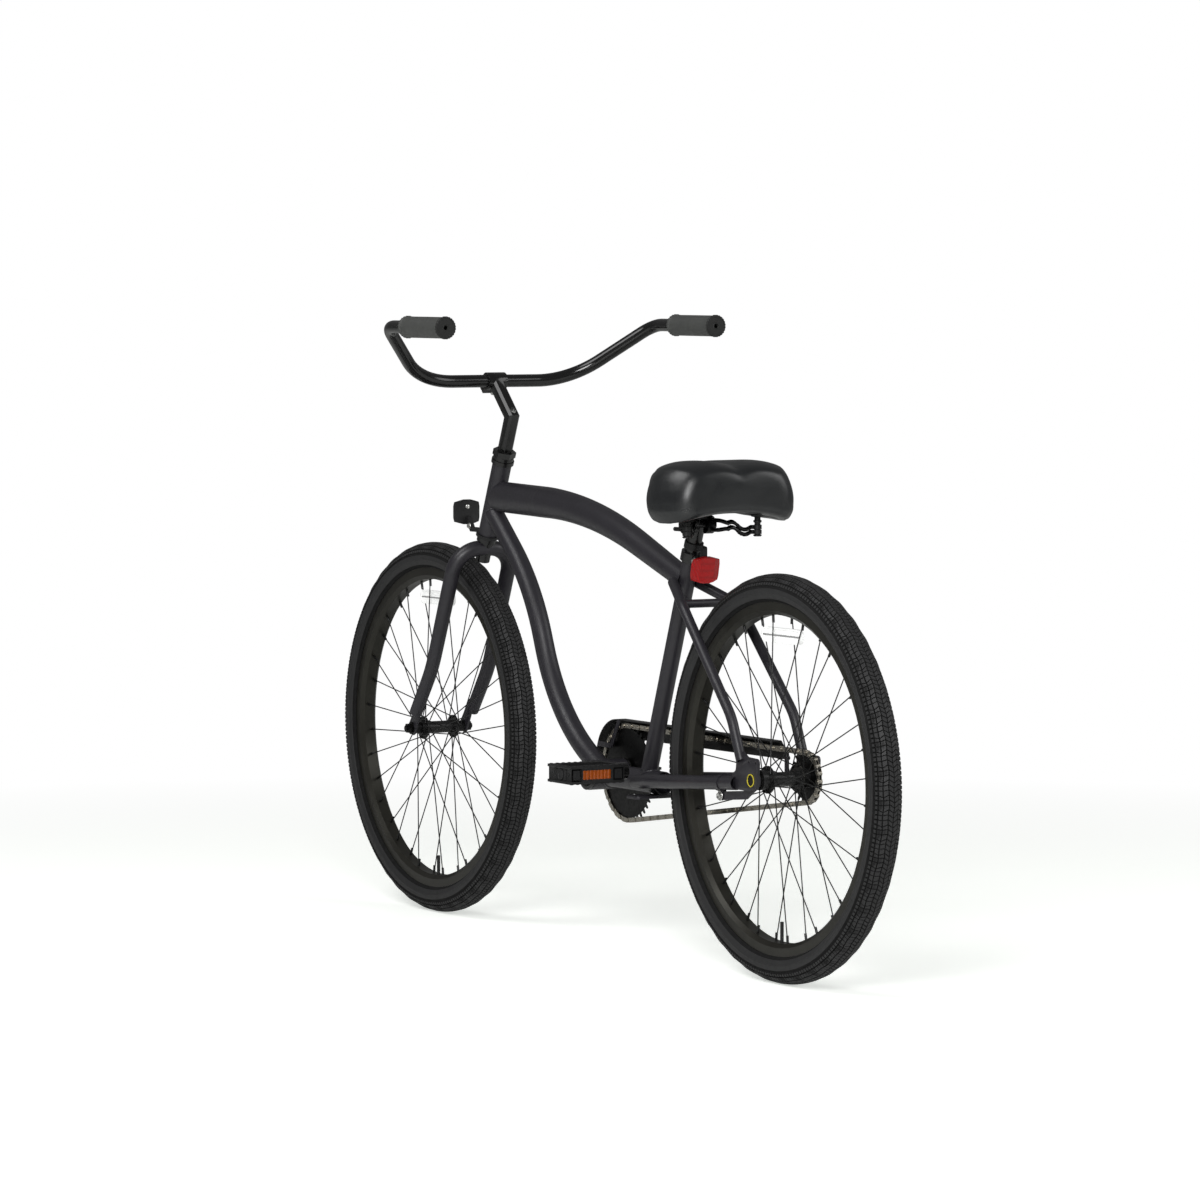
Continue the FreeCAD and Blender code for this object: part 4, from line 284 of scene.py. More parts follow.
def rounded_off(piece, width, segments=2, angle=38.0):
    """Bevels every edge of a piece past an angle and shades it."""
    modifier(piece, "BEVEL", width=width, segments=segments, limit_method="ANGLE",
             angle_limit=math.radians(angle))
    return shade(piece, 30.0)


def copied(piece, name):
    """A copy of a piece with its own mesh, open in edit mode."""
    take_up(piece)
    bpy.ops.object.duplicate()
    copy = named(name)
    edit(copy)
    return copy


def twin(piece, name, shift):
    """A copy of a piece, moved by a shift that is kept in the mesh."""
    copy = copied(piece, name)
    bpy.ops.transform.translate(value=shift)
    leave()
    return copy


def mirrored(piece, name, axis, centre=ORIGIN, shift=ORIGIN):
    """A copy of a piece mirrored through a place and moved, with its faces outwards."""
    copy = copied(piece, name)
    flip = Vector((1.0, 1.0, 1.0))
    flip[axis] = -1.0
    bpy.ops.transform.resize(value=flip, center_override=centre)
    bpy.ops.transform.translate(value=shift)
    close_up()
    leave()
    return copy


def joined(pieces, name):
    """Several pieces joined into one."""
    clear_selection()
    for piece in pieces:
        piece.select_set(True)
    bpy.context.view_layer.objects.active = pieces[0]
    bpy.ops.object.join()
    return named(name)


def copied_node(node, name):
    """A merged copy of a CAD node as a new object."""
    piece = bpy.data.objects.new(name, NODES[node].data.copy())
    piece.data.name = name
    bpy.context.scene.collection.objects.link(piece)
    edit(piece)
    merge()
    leave()
    return piece


def dress(piece, finish, body, *nodes, slot=None):
    """Gives a piece its finish and body, and hides the CAD nodes that it stands for. The slot argument is
    not used.
    """
    piece.data.materials.clear()
    piece.data.materials.append(FINISHES[finish])
    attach(piece, body)
    if nodes:
        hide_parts(*nodes)


# Finishes
FINISHES = {}


class NodeTree:
    """A node tree under construction."""

    def __init__(self, tree):
        self.tree = tree
        tree.nodes.clear()

    def feed(self, socket, value):
        """Gives a socket a value, or links it to a socket or a node's first output."""
        if isinstance(value, bpy.types.Node):
            value = value.outputs[0]
        if isinstance(value, bpy.types.NodeSocket):
            self.tree.links.new(value, socket)
        elif value is not None:
            socket.default_value = value

    def add(self, kind, inputs, **values):
        """A node with its own values set and its inputs fed."""
        made = self.tree.nodes.new(kind)
        for key, value in values.items():
            setattr(made, key, value)
        for key, value in inputs.items():
            self.feed(made.inputs[key], value)
        return made

    def math(self, operation, *values):
        return self.add("ShaderNodeMath", dict(enumerate(values)), operation=operation)

    def hypot(self, *values):
        return self.math("SQRT", self.math("ADD", *(self.math("MULTIPLY", each, each) for each in values)))

    def span(self, value, low, high, start=0.3, end=0.7):
        """A value between start and end, carried over to between low and high."""
        return self.add("ShaderNodeMapRange", {
            "Value": value, "From Min": start, "From Max": end, "To Min": low, "To Max": high})

    def seen(self):
        """One for the camera's view, also through clear pieces, and zero for other light."""
        path = self.add("ShaderNodeLightPath", {}).outputs
        return self.math("MAXIMUM", path["Is Camera Ray"], path["Is Transmission Ray"])


class Finish(NodeTree):
    """A node material under construction, kept by its name."""

    def __init__(self, name, colour, rough, metallic=0.0, **sockets):
        self.material = bpy.data.materials.get(name) or bpy.data.materials.new(name)
        self.material.use_nodes = True
        FINISHES[name] = self.material
        super().__init__(self.material.node_tree)
        sockets = {key.replace("_", " ").title().replace("Ior", "IOR"): sockets[key] for key in sockets}
        self.shader = self.add("ShaderNodeBsdfPrincipled", {
            "Base Color": (*colour, 1.0), "Roughness": rough, "Metallic": metallic, **sockets})
        self.surface = self.add("ShaderNodeOutputMaterial", {"Surface": self.shader}).inputs["Surface"]
        self.coords = self.add("ShaderNodeTexCoord", {}).outputs["Object"]
        self.colour = colour
        self.relief = None

    def axes(self):
        """The three object coordinates, one by one."""
        return self.add("ShaderNodeSeparateXYZ", {"Vector": self.coords}).outputs

    def noise(self, scale, detail, coords=None):
        return self.add("ShaderNodeTexNoise", {
            "Vector": coords or self.coords, "Scale": scale, "Detail": detail, "Roughness": 0.55})

    def cells(self, scale, randomness=1.0):
        return self.add("ShaderNodeTexVoronoi", {
            "Vector": self.coords, "Scale": scale, "Randomness": randomness})

    def rough(self, value, *limits):
        self.feed(self.shader.inputs["Roughness"], self.span(value, *limits))

    def tint(self, value, low, high, *limits):
        """Base colour between two shares of the finish's own colour."""
        mix = self.add("ShaderNodeMix", {"Factor": self.span(value, 0.0, 1.0, *limits)}, data_type="RGBA")
        ends = [socket for socket in mix.inputs if socket.type == "RGBA"]
        for socket, share in zip(ends, (low, high)):
            socket.default_value = (*(min(1.0, part * share) for part in self.colour), 1.0)
        result = next(socket for socket in mix.outputs if socket.type == "RGBA")
        self.feed(self.shader.inputs["Base Color"], result)

    def bump(self, height, distance, strength):
        """Adds relief on top of what the finish already has."""
        self.relief = self.add("ShaderNodeBump", {
            "Height": height, "Distance": distance, "Strength": strength, "Normal": self.relief})
        self.feed(self.shader.inputs["Normal"], self.relief)


def powder_paint():
    """Matt powder paint with a fine orange peel and slight cloudiness."""
    paint = Finish("frame_paint", colours().paint, 0.42, specular_ior_level=0.5)
    paint.bump(paint.noise(620.0, 2.0), 0.00005, 0.35)
    paint.tint(paint.noise(38.0, 4.0), 0.90, 1.10)
    paint.rough(paint.noise(160.0, 3.0), 0.36, 0.46)


def gloss_paint():
    """Gloss black over steel, with faint rub marks in its shine."""
    paint = Finish("gloss_black", colours().gloss, 0.16, specular_ior_level=0.42, coat_weight=0.2,
                   coat_roughness=0.06)
    drawn = paint.add("ShaderNodeMapping", {"Vector": paint.coords, "Scale": (1.0, 2.0, 1.0)})
    paint.rough(paint.noise(12.0, 3.0, drawn), 0.12, 0.22)
    paint.tint(paint.noise(60.0, 3.0), 0.8, 1.25)
    paint.bump(paint.noise(240.0, 2.0), 0.00001, 0.12)


def tyre_rubber():
    """Tyre rubber with painted shade in the grooves, which are darker and duller than the blocks."""
    rubber = Finish("tyre_rubber", colours().rubber, 0.58, specular_ior_level=0.38)
    x, y, z = rubber.axes()
    ahead = rubber.math("SUBTRACT", rubber.math("ABSOLUTE", x), FRONT_AXLE.x)
    from_axle = rubber.hypot(ahead, rubber.math("SUBTRACT", z, FRONT_AXLE.z))
    reach = rubber.hypot(rubber.math("SUBTRACT", from_axle, TYRE_RADIUS - TYRE_HALF), y)
    # painted shade: depth is 0 in the grooves and low on the blocks' walls, so the tint below darkens them
    # to 0.08 of the rubber's colour and lifts the blocks' tops to 1.25; cloud is a random tone
    depth = rubber.span(reach, 0.0, 1.0, TYRE_HALF - 0.0010, TYRE_HALF - 0.0006)
    cloud = rubber.span(rubber.noise(30.0, 5.0), 0.85, 1.0)
    rubber.tint(rubber.math("MULTIPLY", depth, cloud), 0.08, 1.25, 0.0, 1.0)
    rubber.rough(rubber.math("ADD", depth, rubber.noise(110.0, 4.0)), 0.95, 0.55, 0.4, 1.5)
    rubber.bump(rubber.noise(1500.0, 2.0), 0.00006, 0.4)


def turned_metal(name, colour, rough, centre, metallic):
    """Metal with fine rings left by turning about an axle along Y."""
    metal = Finish(name, colour, rough[0], metallic)
    x, y, z = metal.axes()
    reach = metal.hypot(metal.math("SUBTRACT", x, centre.x), metal.math("SUBTRACT", z, centre.z))
    lines = metal.noise(900.0, 2.0, metal.add("ShaderNodeCombineXYZ", {"X": reach, "Y": y}))
    metal.bump(lines, 0.00002, 0.3)
    metal.rough(lines, *rough)
    metal.tint(metal.noise(30.0, 4.0), 0.85, 1.18)


def plain_metal(name, colour, rough, grime, scale=220.0):
    """Metal with a mottled, slightly grimy surface."""
    metal = Finish(name, colour, rough[0], 1.0)
    spots = metal.noise(scale, 5.0)
    metal.tint(spots, grime, 1.15)
    metal.rough(spots, rough[1], rough[0])
    metal.bump(metal.noise(scale * 6.0, 2.0), 0.00003, 0.35)


def moulded(name, colour, rough, grain=900.0, height=0.00008):
    """Moulded plastic or rubber with a fine even grain."""
    plastic = Finish(name, colour, rough[0], specular_ior_level=0.35)
    plastic.bump(plastic.cells(grain), height, 0.45)
    plastic.rough(plastic.noise(120.0, 4.0), *rough)
    plastic.tint(plastic.noise(55.0, 4.0), 0.86, 1.14)


def grip_rubber():
    """Grip rubber with a fine grain and painted shade on the end that faces the rider."""
    rubber = Finish("grip_rubber", colours().grip, 0.5, specular_ior_level=0.35)
    rubber.bump(rubber.cells(1100.0), 0.00010, 0.45)
    rubber.rough(rubber.noise(120.0, 4.0), 0.42, 0.58)
    # painted shade: body is 0 on the end face towards the rider, so the tint darkens that end to 0.22 of the
    # rubber's colour; cloud is a random tone
    body = rubber.span(rubber.axes()[0], 0.0, 1.0, GRIP_REAR + 0.0010, GRIP_REAR + 0.0060)
    cloud = rubber.span(rubber.noise(55.0, 4.0), 0.85, 1.0)
    rubber.tint(rubber.math("MULTIPLY", body, cloud), 0.22, 1.14, 0.0, 1.0)


def vinyl_cover():
    """Saddle vinyl: leather grain of small cells, soft shine and slight scuffing."""
    vinyl = Finish("saddle_vinyl", colours().vinyl, 0.32, specular_ior_level=0.58)
    vinyl.bump(vinyl.cells(850.0), 0.00010, 0.35)
    vinyl.bump(vinyl.noise(70.0, 3.0), 0.0004, 0.12)
    vinyl.rough(vinyl.noise(45.0, 5.0), 0.27, 0.38)
    vinyl.tint(vinyl.noise(25.0, 4.0), 0.88, 1.14)


def prism_lens(name, colour, rough, cell, height, shares=(1.25, 0.62), **sockets):
    """Reflector plastic: a glossy face over rows of small prisms, each with a painted highlight in its
    middle and painted shade at its edges.
    """
    lens = Finish(name, colour, rough, specular_ior_level=0.3, coat_weight=0.1, coat_roughness=0.06,
                  **sockets)
    prisms = lens.cells(cell, 0.12)
    # painted highlight and shade: each prism is lighter in its middle and darker at its edges, by the two
    # shares
    lens.tint(prisms, *shares, 0.1, 0.75)
    lens.bump(prisms, height, 0.8)


def make_finishes():
    """Makes every finish."""
    black = (0.012, 0.012, 0.012)
    powder_paint()
    gloss_paint()
    tyre_rubber()
    vinyl_cover()
    for end, axle in (("front", FRONT_AXLE), ("rear", REAR_AXLE)):
        turned_metal(end + "_rim_metal", colours().rim, (0.30, 0.42), axle, 0.6)
        turned_metal(end + "_hub_metal", (0.022, 0.022, 0.022), (0.22, 0.34), axle, 0.5)
    plain_metal("spoke_steel", (0.045, 0.045, 0.045), (0.32, 0.45), 0.8)
    plain_metal("zinc_steel", (0.62, 0.62, 0.60), (0.24, 0.40), 0.8)
    plain_metal("black_steel", (0.030, 0.030, 0.030), (0.30, 0.48), 0.7)
    plain_metal("chain_steel", (0.52, 0.49, 0.43), (0.24, 0.42), 0.45, 420.0)
    moulded("tube_rubber", black, (0.60, 0.75), 700.0)
    grip_rubber()
    moulded("pedal_plastic", colours().plastic, (0.42, 0.56), 1000.0)
    moulded("guard_plastic", black, (0.36, 0.46), 800.0, 0.00004)
    moulded("saddle_shell", (0.010, 0.010, 0.010), (0.45, 0.6))
    moulded("seal_ring", colours().seal, (0.45, 0.6))
    prism_lens("red_lens", colours().red, 0.22, 420.0, 0.0004)
    prism_lens("amber_lens", colours().amber, 0.24, 420.0, 0.0004)
    # painted light: the clear spoke and front lenses glow faintly white though they are no lamps
    prism_lens("clear_lens", colours().clear, 0.30, 380.0, 0.0003, (1.05, 0.9),
               emission_color=WHITE, emission_strength=0.25)


NODE_FINISH = {
    "frame_paint": "head_tube top_tube down_tube seat_tube bottom_tube bb_shell chainstays seat_stays"
                   " rear_dropouts kickstand_plate fork_blades fork_ends brake_arm chain_guard_brackets",
    "gloss_black": "stem handlebar seat_post crank fork_steerer headset_cups headset_races"
                   " bottom_bracket_cups seat_clamp",
    "tyre_rubber": "front_tyre rear_tyre",
    "tube_rubber": "front_inner_tube rear_inner_tube",
    "front_rim_metal": "front_rim",
    "rear_rim_metal": "rear_rim",
    "front_hub_metal": "front_hub_shell",
    "rear_hub_metal": "rear_hub_shell rear_driver",
    "spoke_steel": "front_spokes rear_spokes",
    "black_steel": "front_axle_set rear_axle_set brake_shoes crank_bearings saddle_clamp saddle_rails"
                   " pedal_spindles chainring rear_sprocket",
    "zinc_steel": "stem_bolts",
    "chain_steel": "chain",
    "guard_plastic": "chain_guard",
    "pedal_plastic": "left_pedal right_pedal front_reflector_bracket rear_reflector_bracket",
    "grip_rubber": "grips",
    "saddle_vinyl": "saddle_pad",
    "saddle_shell": "saddle_base saddle_bumpers",
    "red_lens": "rear_reflector",
    "amber_lens": "left_pedal_reflectors right_pedal_reflectors",
    "clear_lens": "front_reflector front_spoke_reflector rear_spoke_reflector",
}


class CRUISER_OT_finishes(Operator):
    """Makes the finishes and puts them on the carried-over parts"""

    bl_idname = "cruiser.finishes"
    bl_label = "Finishes"

    def execute(self, context):
        make_finishes()
        left = set(NODES)
        for finish, nodes in NODE_FINISH.items():
            for node in nodes.split():
                NODES[node].data.materials.clear()
                NODES[node].data.materials.append(FINISHES[finish])
                left.discard(node)
        if left:
            raise RuntimeError("no finish for " + ", ".join(sorted(left)))
        return {"FINISHED"}


# Tyres
TREAD_ANGLES = (-74, -57, -39, -19, 0, 19, 39, 57, 74)
TREAD_SKEW = (0.0, 0.0, 0.35, -0.25, 0.45, -0.25, 0.35, 0.0, 0.0)
TREAD_CYCLE = 6
TREAD_ZIGZAG = (((1, 2), 0.0007), ((4, 5), -0.0007))
TREAD_BANDS = ((0.0, 57.0, 1.0, 0.97), (57.0, 73.0, 2.1, 1.25))
CROWN_ANGLE = 42.0
ROW_ANGLE = 3.5
FLOOR_GAP = 0.0004
FLOOR_FACE_GAP = 0.00095
WALL_DROPS = ((84, 0.0005), (92, 0.0003), (98, 0.0003), (99, 0.0), (101.5, 0.0), (102.5, 0.0004),
              (112, 0.0005), (117, 0.0003), (121, 0.0003), (124, 0.0013))
TYRE_LIP = [(0.0190, 0.2893), (0.0172, 0.2875), (0.0132, 0.2874), (0.0132, 0.2803), (0.0102, 0.2803),
            (0.0102, 0.2875)]
LINING_REACH = 0.02375
LINING_ANGLES = (128, 100, 72, 44, 18)


def tyre_profile():
    """Section of the tyre: tread floor, ribbed walls, lips, beads and lining."""
    floor = TYRE_HALF - sizes().tread_depth

    def at(angle, reach):
        turn = math.radians(angle)
        return reach * math.sin(turn), TYRE_RADIUS - TYRE_HALF + reach * math.cos(turn)

    crown = [at(angle, floor - 0.0006 if abs(angle) > 50 else floor) for angle in TREAD_ANGLES]
    wall = [at(76, floor - 0.0005), at(79, floor + 0.0003)]
    wall += [at(angle, TYRE_HALF - drop) for angle, drop in WALL_DROPS]
    right = wall + TYRE_LIP + [at(angle, LINING_REACH) for angle in LINING_ANGLES]
    return crown + right + [(-across, out) for across, out in reversed(right)]


def tread_row(place):
    """Section angle in degrees and reach of a point of the rear tyre."""
    radial = math.hypot(place.x - REAR_AXLE.x, place.z - REAR_AXLE.z) - (TYRE_RADIUS - TYRE_HALF)
    return math.degrees(math.atan2(place.y, radial)), math.hypot(place.y, radial)


class CRUISER_OT_tyres(Operator):
    """Turns a tyre, raises its tread block by block and copies it to the front"""

    bl_idname = "cruiser.tyres"
    bl_label = "Tyres"

    def execute(self, context):
        count = sizes().tread_rows
        tyre = spun("rear_tyre_tread", tyre_profile(), REAR_AXLE, ACROSS, count)
        floor = TYRE_HALF - sizes().tread_depth

        def station(place):
            turn = math.atan2(place.x - REAR_AXLE.x, place.z - REAR_AXLE.z) / math.tau * count
            return round(turn) % TREAD_CYCLE

        def on_floor(place, gap=FLOOR_GAP):
            return abs(tread_row(place)[1] - floor) < gap

        for steps, push in TREAD_ZIGZAG:
            choose(tyre, "VERT", lambda place, normal: abs(tread_row(place)[0]) < CROWN_ANGLE
                   and on_floor(place) and station(place) in steps)
            bpy.ops.transform.translate(value=ACROSS * push)
        for angle, skew in zip(TREAD_ANGLES, TREAD_SKEW):
            if skew:
                choose(tyre, "VERT", lambda place, normal: abs(tread_row(place)[0] - angle) < ROW_ANGLE
                       and on_floor(place))
                bpy.ops.transform.rotate(value=skew * math.tau / count, orient_axis="Y",
                                         orient_type="GLOBAL", center_override=REAR_AXLE)
        for inner, outer, share, height in TREAD_BANDS:
            choose(tyre, "FACE", lambda place, normal: inner <= abs(tread_row(place)[0]) < outer
                   and on_floor(place, FLOOR_FACE_GAP))
            bpy.ops.mesh.inset(thickness=sizes().tread_groove * share, depth=sizes().tread_depth * height,
                               use_individual=True, use_even_offset=True)
        close_up()
        shade(tyre, 30.0)
        front = twin(tyre, "front_tyre_tread", FRONT_AXLE - REAR_AXLE)
        dress(tyre, "tyre_rubber", "rear_wheel", "rear_tyre")
        dress(front, "tyre_rubber", "front_wheel", "front_tyre")
        return {"FINISHED"}


# Grips
GRIP_PROFILE = (
    (0.0655, 0.01125), (0.1997, 0.01125), (0.1997, 0.0186), (0.1991, 0.0194), (0.1945, 0.0194),
    (0.1937, 0.0186), (0.1934, 0.0180), (0.1880, 0.0180), (0.1800, 0.01815), (0.1300, 0.0182),
    (0.0800, 0.01815), (0.0720, 0.0180), (0.0682, 0.0180), (0.0679, 0.0186), (0.0672, 0.0194),
    (0.0625, 0.0194), (0.0617, 0.0187), (0.0617, 0.0160), (0.0624, 0.0155), (0.0624, 0.0062),
    (0.0619, 0.0057), (0.0619, 0.0044), (0.0624, 0.0039), (0.0655, 0.0037))
FLUTE_STEPS = 3
FLUTE_SHARE = 0.955
FLANGE_RADIUS = 0.01855


class CRUISER_OT_grips(Operator):
    """Turns a grip, flutes its two flanges and mirrors it to the other side"""

    bl_idname = "cruiser.grips"
    bl_label = "Grips"

    def execute(self, context):
        centre = GRIP_CENTRE
        steps = sizes().flute_count * FLUTE_STEPS
        grip = spun("left_grip", GRIP_PROFILE, centre, AHEAD, steps)

        def fluted(place, normal):
            radius = math.hypot(place.y - centre.y, place.z - centre.z)
            turn = math.atan2(place.y - centre.y, place.z - centre.z) / math.tau * steps
            return radius > FLANGE_RADIUS and round(turn) % FLUTE_STEPS == 0

        choose(grip, "VERT", fluted)
        bpy.ops.transform.resize(value=(1.0, FLUTE_SHARE, FLUTE_SHARE), center_override=centre)
        close_up()
        shade(grip, 40.0)
        other = shade(mirrored(grip, "right_grip", 1), 40.0)
        dress(joined([grip, other], "grip_pair"), "grip_rubber", "handlebar", "grips")
        return {"FINISHED"}


# Saddle
PAD_RIM = 0.022
FLARE_STEPS = 9
FLARE_SHARE = 1.006
FLARE_RUN, FLARE_RUN_STEP = 0.13, 0.006
FLARE_RISE, FLARE_RISE_STEP = 0.060, 0.005
CLOTH_STIFFNESS = 60.0
CLOTH_PRESSURE = 4.0
CLOTH_FRAMES = 20


def fill_pad(pad, rim):
    """Fills the cover by a cloth simulation, held on its underside and below its rim."""
    scene = bpy.context.scene
    vertices = pad.data.vertices
    held = pad.vertex_groups.new(name="held")
    held.add([v.index for v in vertices if v.normal.z < -0.2 or v.co.z < rim], 1.0, "REPLACE")
    start = [v.co.copy() for v in vertices]
    take_up(pad)
    filling = pad.modifiers.new("Filling", "CLOTH")
    cloth = filling.settings
    for part in ("tension", "compression", "shear", "bending"):
        setattr(cloth, part + "_stiffness", CLOTH_STIFFNESS)
    cloth.use_pressure = True
    cloth.uniform_pressure_force = CLOTH_PRESSURE
    cloth.vertex_group_mass = "held"
    cloth.effector_weights.gravity = 0.0
    filling.point_cache.frame_start = 1
    filling.point_cache.frame_end = CLOTH_FRAMES
    for step in range(1, CLOTH_FRAMES + 1):
        scene.frame_set(step)
    bpy.ops.object.modifier_apply(modifier=filling.name)
    scene.frame_set(1)
    for vertex, place in zip(pad.data.vertices, start):
        move = vertex.co - place
        if move.length > sizes().pad_swell:
            vertex.co = place + move.normalized() * sizes().pad_swell
    pad.vertex_groups.clear()
    edit(pad)
    bpy.ops.mesh.vertices_smooth(factor=0.5, repeat=4)
    leave()


class CRUISER_OT_saddle(Operator):
    """Fills the saddle's cover as a stuffed pad over its shell"""

    bl_idname = "cruiser.saddle"
    bl_label = "Saddle pad"

    def execute(self, context):
        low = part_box("saddle_pad")[0]
        pad = copied_node("saddle_pad", "saddle_cover")
        pad.data.materials.clear()
        modifier(pad, "REMESH", mode="VOXEL", voxel_size=sizes().pad_voxel)
        rim = low[2] + PAD_RIM
        edit(pad)
        choose(pad, "VERT", lambda place, normal: place.z > rim and normal.z > -0.3)
        bpy.ops.transform.shrink_fatten(value=-sizes().pad_room)
        for step in range(FLARE_STEPS):
            choose(pad, "VERT", lambda place, normal: place.x < low[0] + FLARE_RUN - FLARE_RUN_STEP * step
                   and place.z < low[2] + FLARE_RISE - FLARE_RISE_STEP * step)
            bpy.ops.transform.resize(value=(1.0, FLARE_SHARE, 1.0), center_override=ORIGIN)
        bpy.ops.mesh.select_all(action="SELECT")
        bpy.ops.mesh.vertices_smooth(factor=0.5, repeat=3)
        leave()
        fill_pad(pad, rim)
        modifier(pad, "SUBSURF", levels=1, render_levels=1)
        dress(shade(pad, 60.0), "saddle_vinyl", "saddle", "saddle_pad")
        return {"FINISHED"}


# Saddle wires
WIRE_WAVE_START = 0.030
WIRE_WAVE_STEP = 0.0025
WIRE_WAVE_SLICES = 12


class CRUISER_OT_wires(Operator):
    """Bends the saddle's wires into a wave between the clamp and the bumpers"""

    bl_idname = "cruiser.wires"
    bl_label = "Saddle wires"

    def execute(self, context):
        wires = copied_node("saddle_rails", "saddle_wires")
        edit(wires)
        stations = [WIRE_WAVE_START + WIRE_WAVE_STEP * index for index in range(WIRE_WAVE_SLICES)]
        for station in stations:
            for side in (1.0, -1.0):
                bpy.ops.mesh.select_all(action="SELECT")
                bpy.ops.mesh.bisect(plane_co=(0.0, side * station, 0.0), plane_no=(0.0, side, 0.0))
        for index, station in enumerate(stations):
            lift = sizes().wire_wave * math.sin(index / (WIRE_WAVE_SLICES - 1) * math.tau)
            choose(wires, "VERT", lambda place, normal: abs(abs(place.y) - station) < WIRE_WAVE_STEP / 2)
            bpy.ops.transform.translate(value=(0.0, 0.0, lift))
        close_up()
        dress(shade(wires, 50.0), "black_steel", "saddle", "saddle_rails")
        return {"FINISHED"}


# Rounded edges on carried-over parts
SOFTENED = (
    ("stem", "stem", "gloss_black", 0.0012),
    ("rear_dropouts", "frame", "frame_paint", 0.0007),
    ("fork_ends", "fork", "frame_paint", 0.0007),
    ("kickstand_plate", "frame", "frame_paint", 0.0007),
    ("left_pedal", "left_pedal", "pedal_plastic", 0.0012),
    ("right_pedal", "right_pedal", "pedal_plastic", 0.0012),
    ("chain_guard", "frame", "guard_plastic", 0.0006),
)
CHANNELS = {"left_pedal": (LEFT_PEDAL, 1.0), "right_pedal": (RIGHT_PEDAL, -1.0)}


class CRUISER_OT_softened(Operator):
    """Rounds the edges of the stem, plates, pedals and guard"""

    bl_idname = "cruiser.softened"
    bl_label = "Rounded edges"

    def execute(self, context):
        for node, body, finish, width in SOFTENED:
            piece = copied_node(node, node + "_rounded")
            if node in CHANNELS:
                end_channel(piece, *CHANNELS[node])
            edit(piece)
            bpy.ops.mesh.dissolve_limited(angle_limit=math.radians(0.6))
            leave()
            rounded_off(piece, width)
            dress(piece, finish, body, node)
        return {"FINISHED"}


# Reflectors
def corner_rounds(piece, axis, reach, corner, segments):
    """Rounds the four edges that run along an axis, in edit mode."""
    bpy.ops.mesh.select_mode(type="EDGE")
    bpy.ops.mesh.select_all(action="DESELECT")
    shape = bmesh.from_edit_mesh(piece.data)
    for edge in shape.edges:
        edge.select_set(abs(edge.verts[0].co[axis] - edge.verts[1].co[axis]) > 0.9 * reach)
    bmesh.update_edit_mesh(piece.data)
    bpy.ops.mesh.bevel(offset=corner, segments=segments, affect="EDGES")


def framed_face(piece, facing, rim, step):
    """Sinks the field inside a rim on each face that looks one way, in edit mode."""
    choose(piece, "FACE", lambda place, normal: normal.dot(facing) > 0.5)
    bpy.ops.mesh.inset(thickness=rim, depth=0.0)
    bpy.ops.mesh.inset(thickness=abs(step), depth=step)


WING_FOLD = 0.014
BARREL_CUTS = ((0.020, 0.005), (0.003, 0.012))
LENS_TILT = 12.0
HOUSING_DEPTH = 0.0058
HOUSING_SCREW = ((0.0008, 0.0042), (-0.0010, 0.0042), (-0.0021, 0.0034), (-0.0025, 0.0020),
                 (-0.0017, 0.0014), (-0.0017, 0.0))
LENS_TRIM = Vector((0.0, 0.0022, 0.0042))


def winged_block(name, low, high, fall):
    """A reflector's body: a panel between two wings that fall back, cut to a barrel."""
    wing = low[0] + fall
    points = [(high[0], low[1], low[2]), (wing, low[1], low[2]), (low[0], -WING_FOLD, low[2]),
              (low[0], WING_FOLD, low[2]), (wing, high[1], low[2]), (high[0], high[1], low[2])]
    block = drawn_out(name, points, (0.0, 0.0, high[2] - low[2]))
    for run, rise in BARREL_CUTS:
        for side in (1.0, -1.0):
            for level, up in ((low[2], -1.0), (high[2], 1.0)):
                bpy.ops.mesh.select_all(action="SELECT")
                bpy.ops.mesh.bisect(plane_co=(0.0, side * (high[1] - run), level),
                                    plane_no=Vector((0.0, side * rise, up * run)).normalized(),
                                    use_fill=True, clear_outer=True)
    close_up()
    return block


def rear_lens(low, high):
    """The red lens, tilted about its bracket to lie along the seat post."""
    lens = winged_block("rear_lens", low, high, 0.0062)
    framed_face(lens, -AHEAD, 0.0011, -0.0005)
    rounded_off(lens, 0.0008, 3, 20.0)
    edit(lens)
    bpy.ops.transform.rotate(value=math.radians(LENS_TILT), orient_axis="Y", orient_type="GLOBAL",
                             center_override=(high[0], 0.0, low[2] * 0.25 + high[2] * 0.75))
    leave()
    return lens


def oval_lens(name, low, high):
    """A wheel reflector: an oval block with a sunk field on both faces."""
    lens = box_piece(name, low, high)
    corner_rounds(lens, 1, high[1] - low[1], (high[2] - low[2]) * 0.495, 10)
    for facing in (ACROSS, -ACROSS):
        framed_face(lens, facing, 0.0024, -0.0009)
    close_up()
    return rounded_off(lens, 0.0007, 2, 40.0)


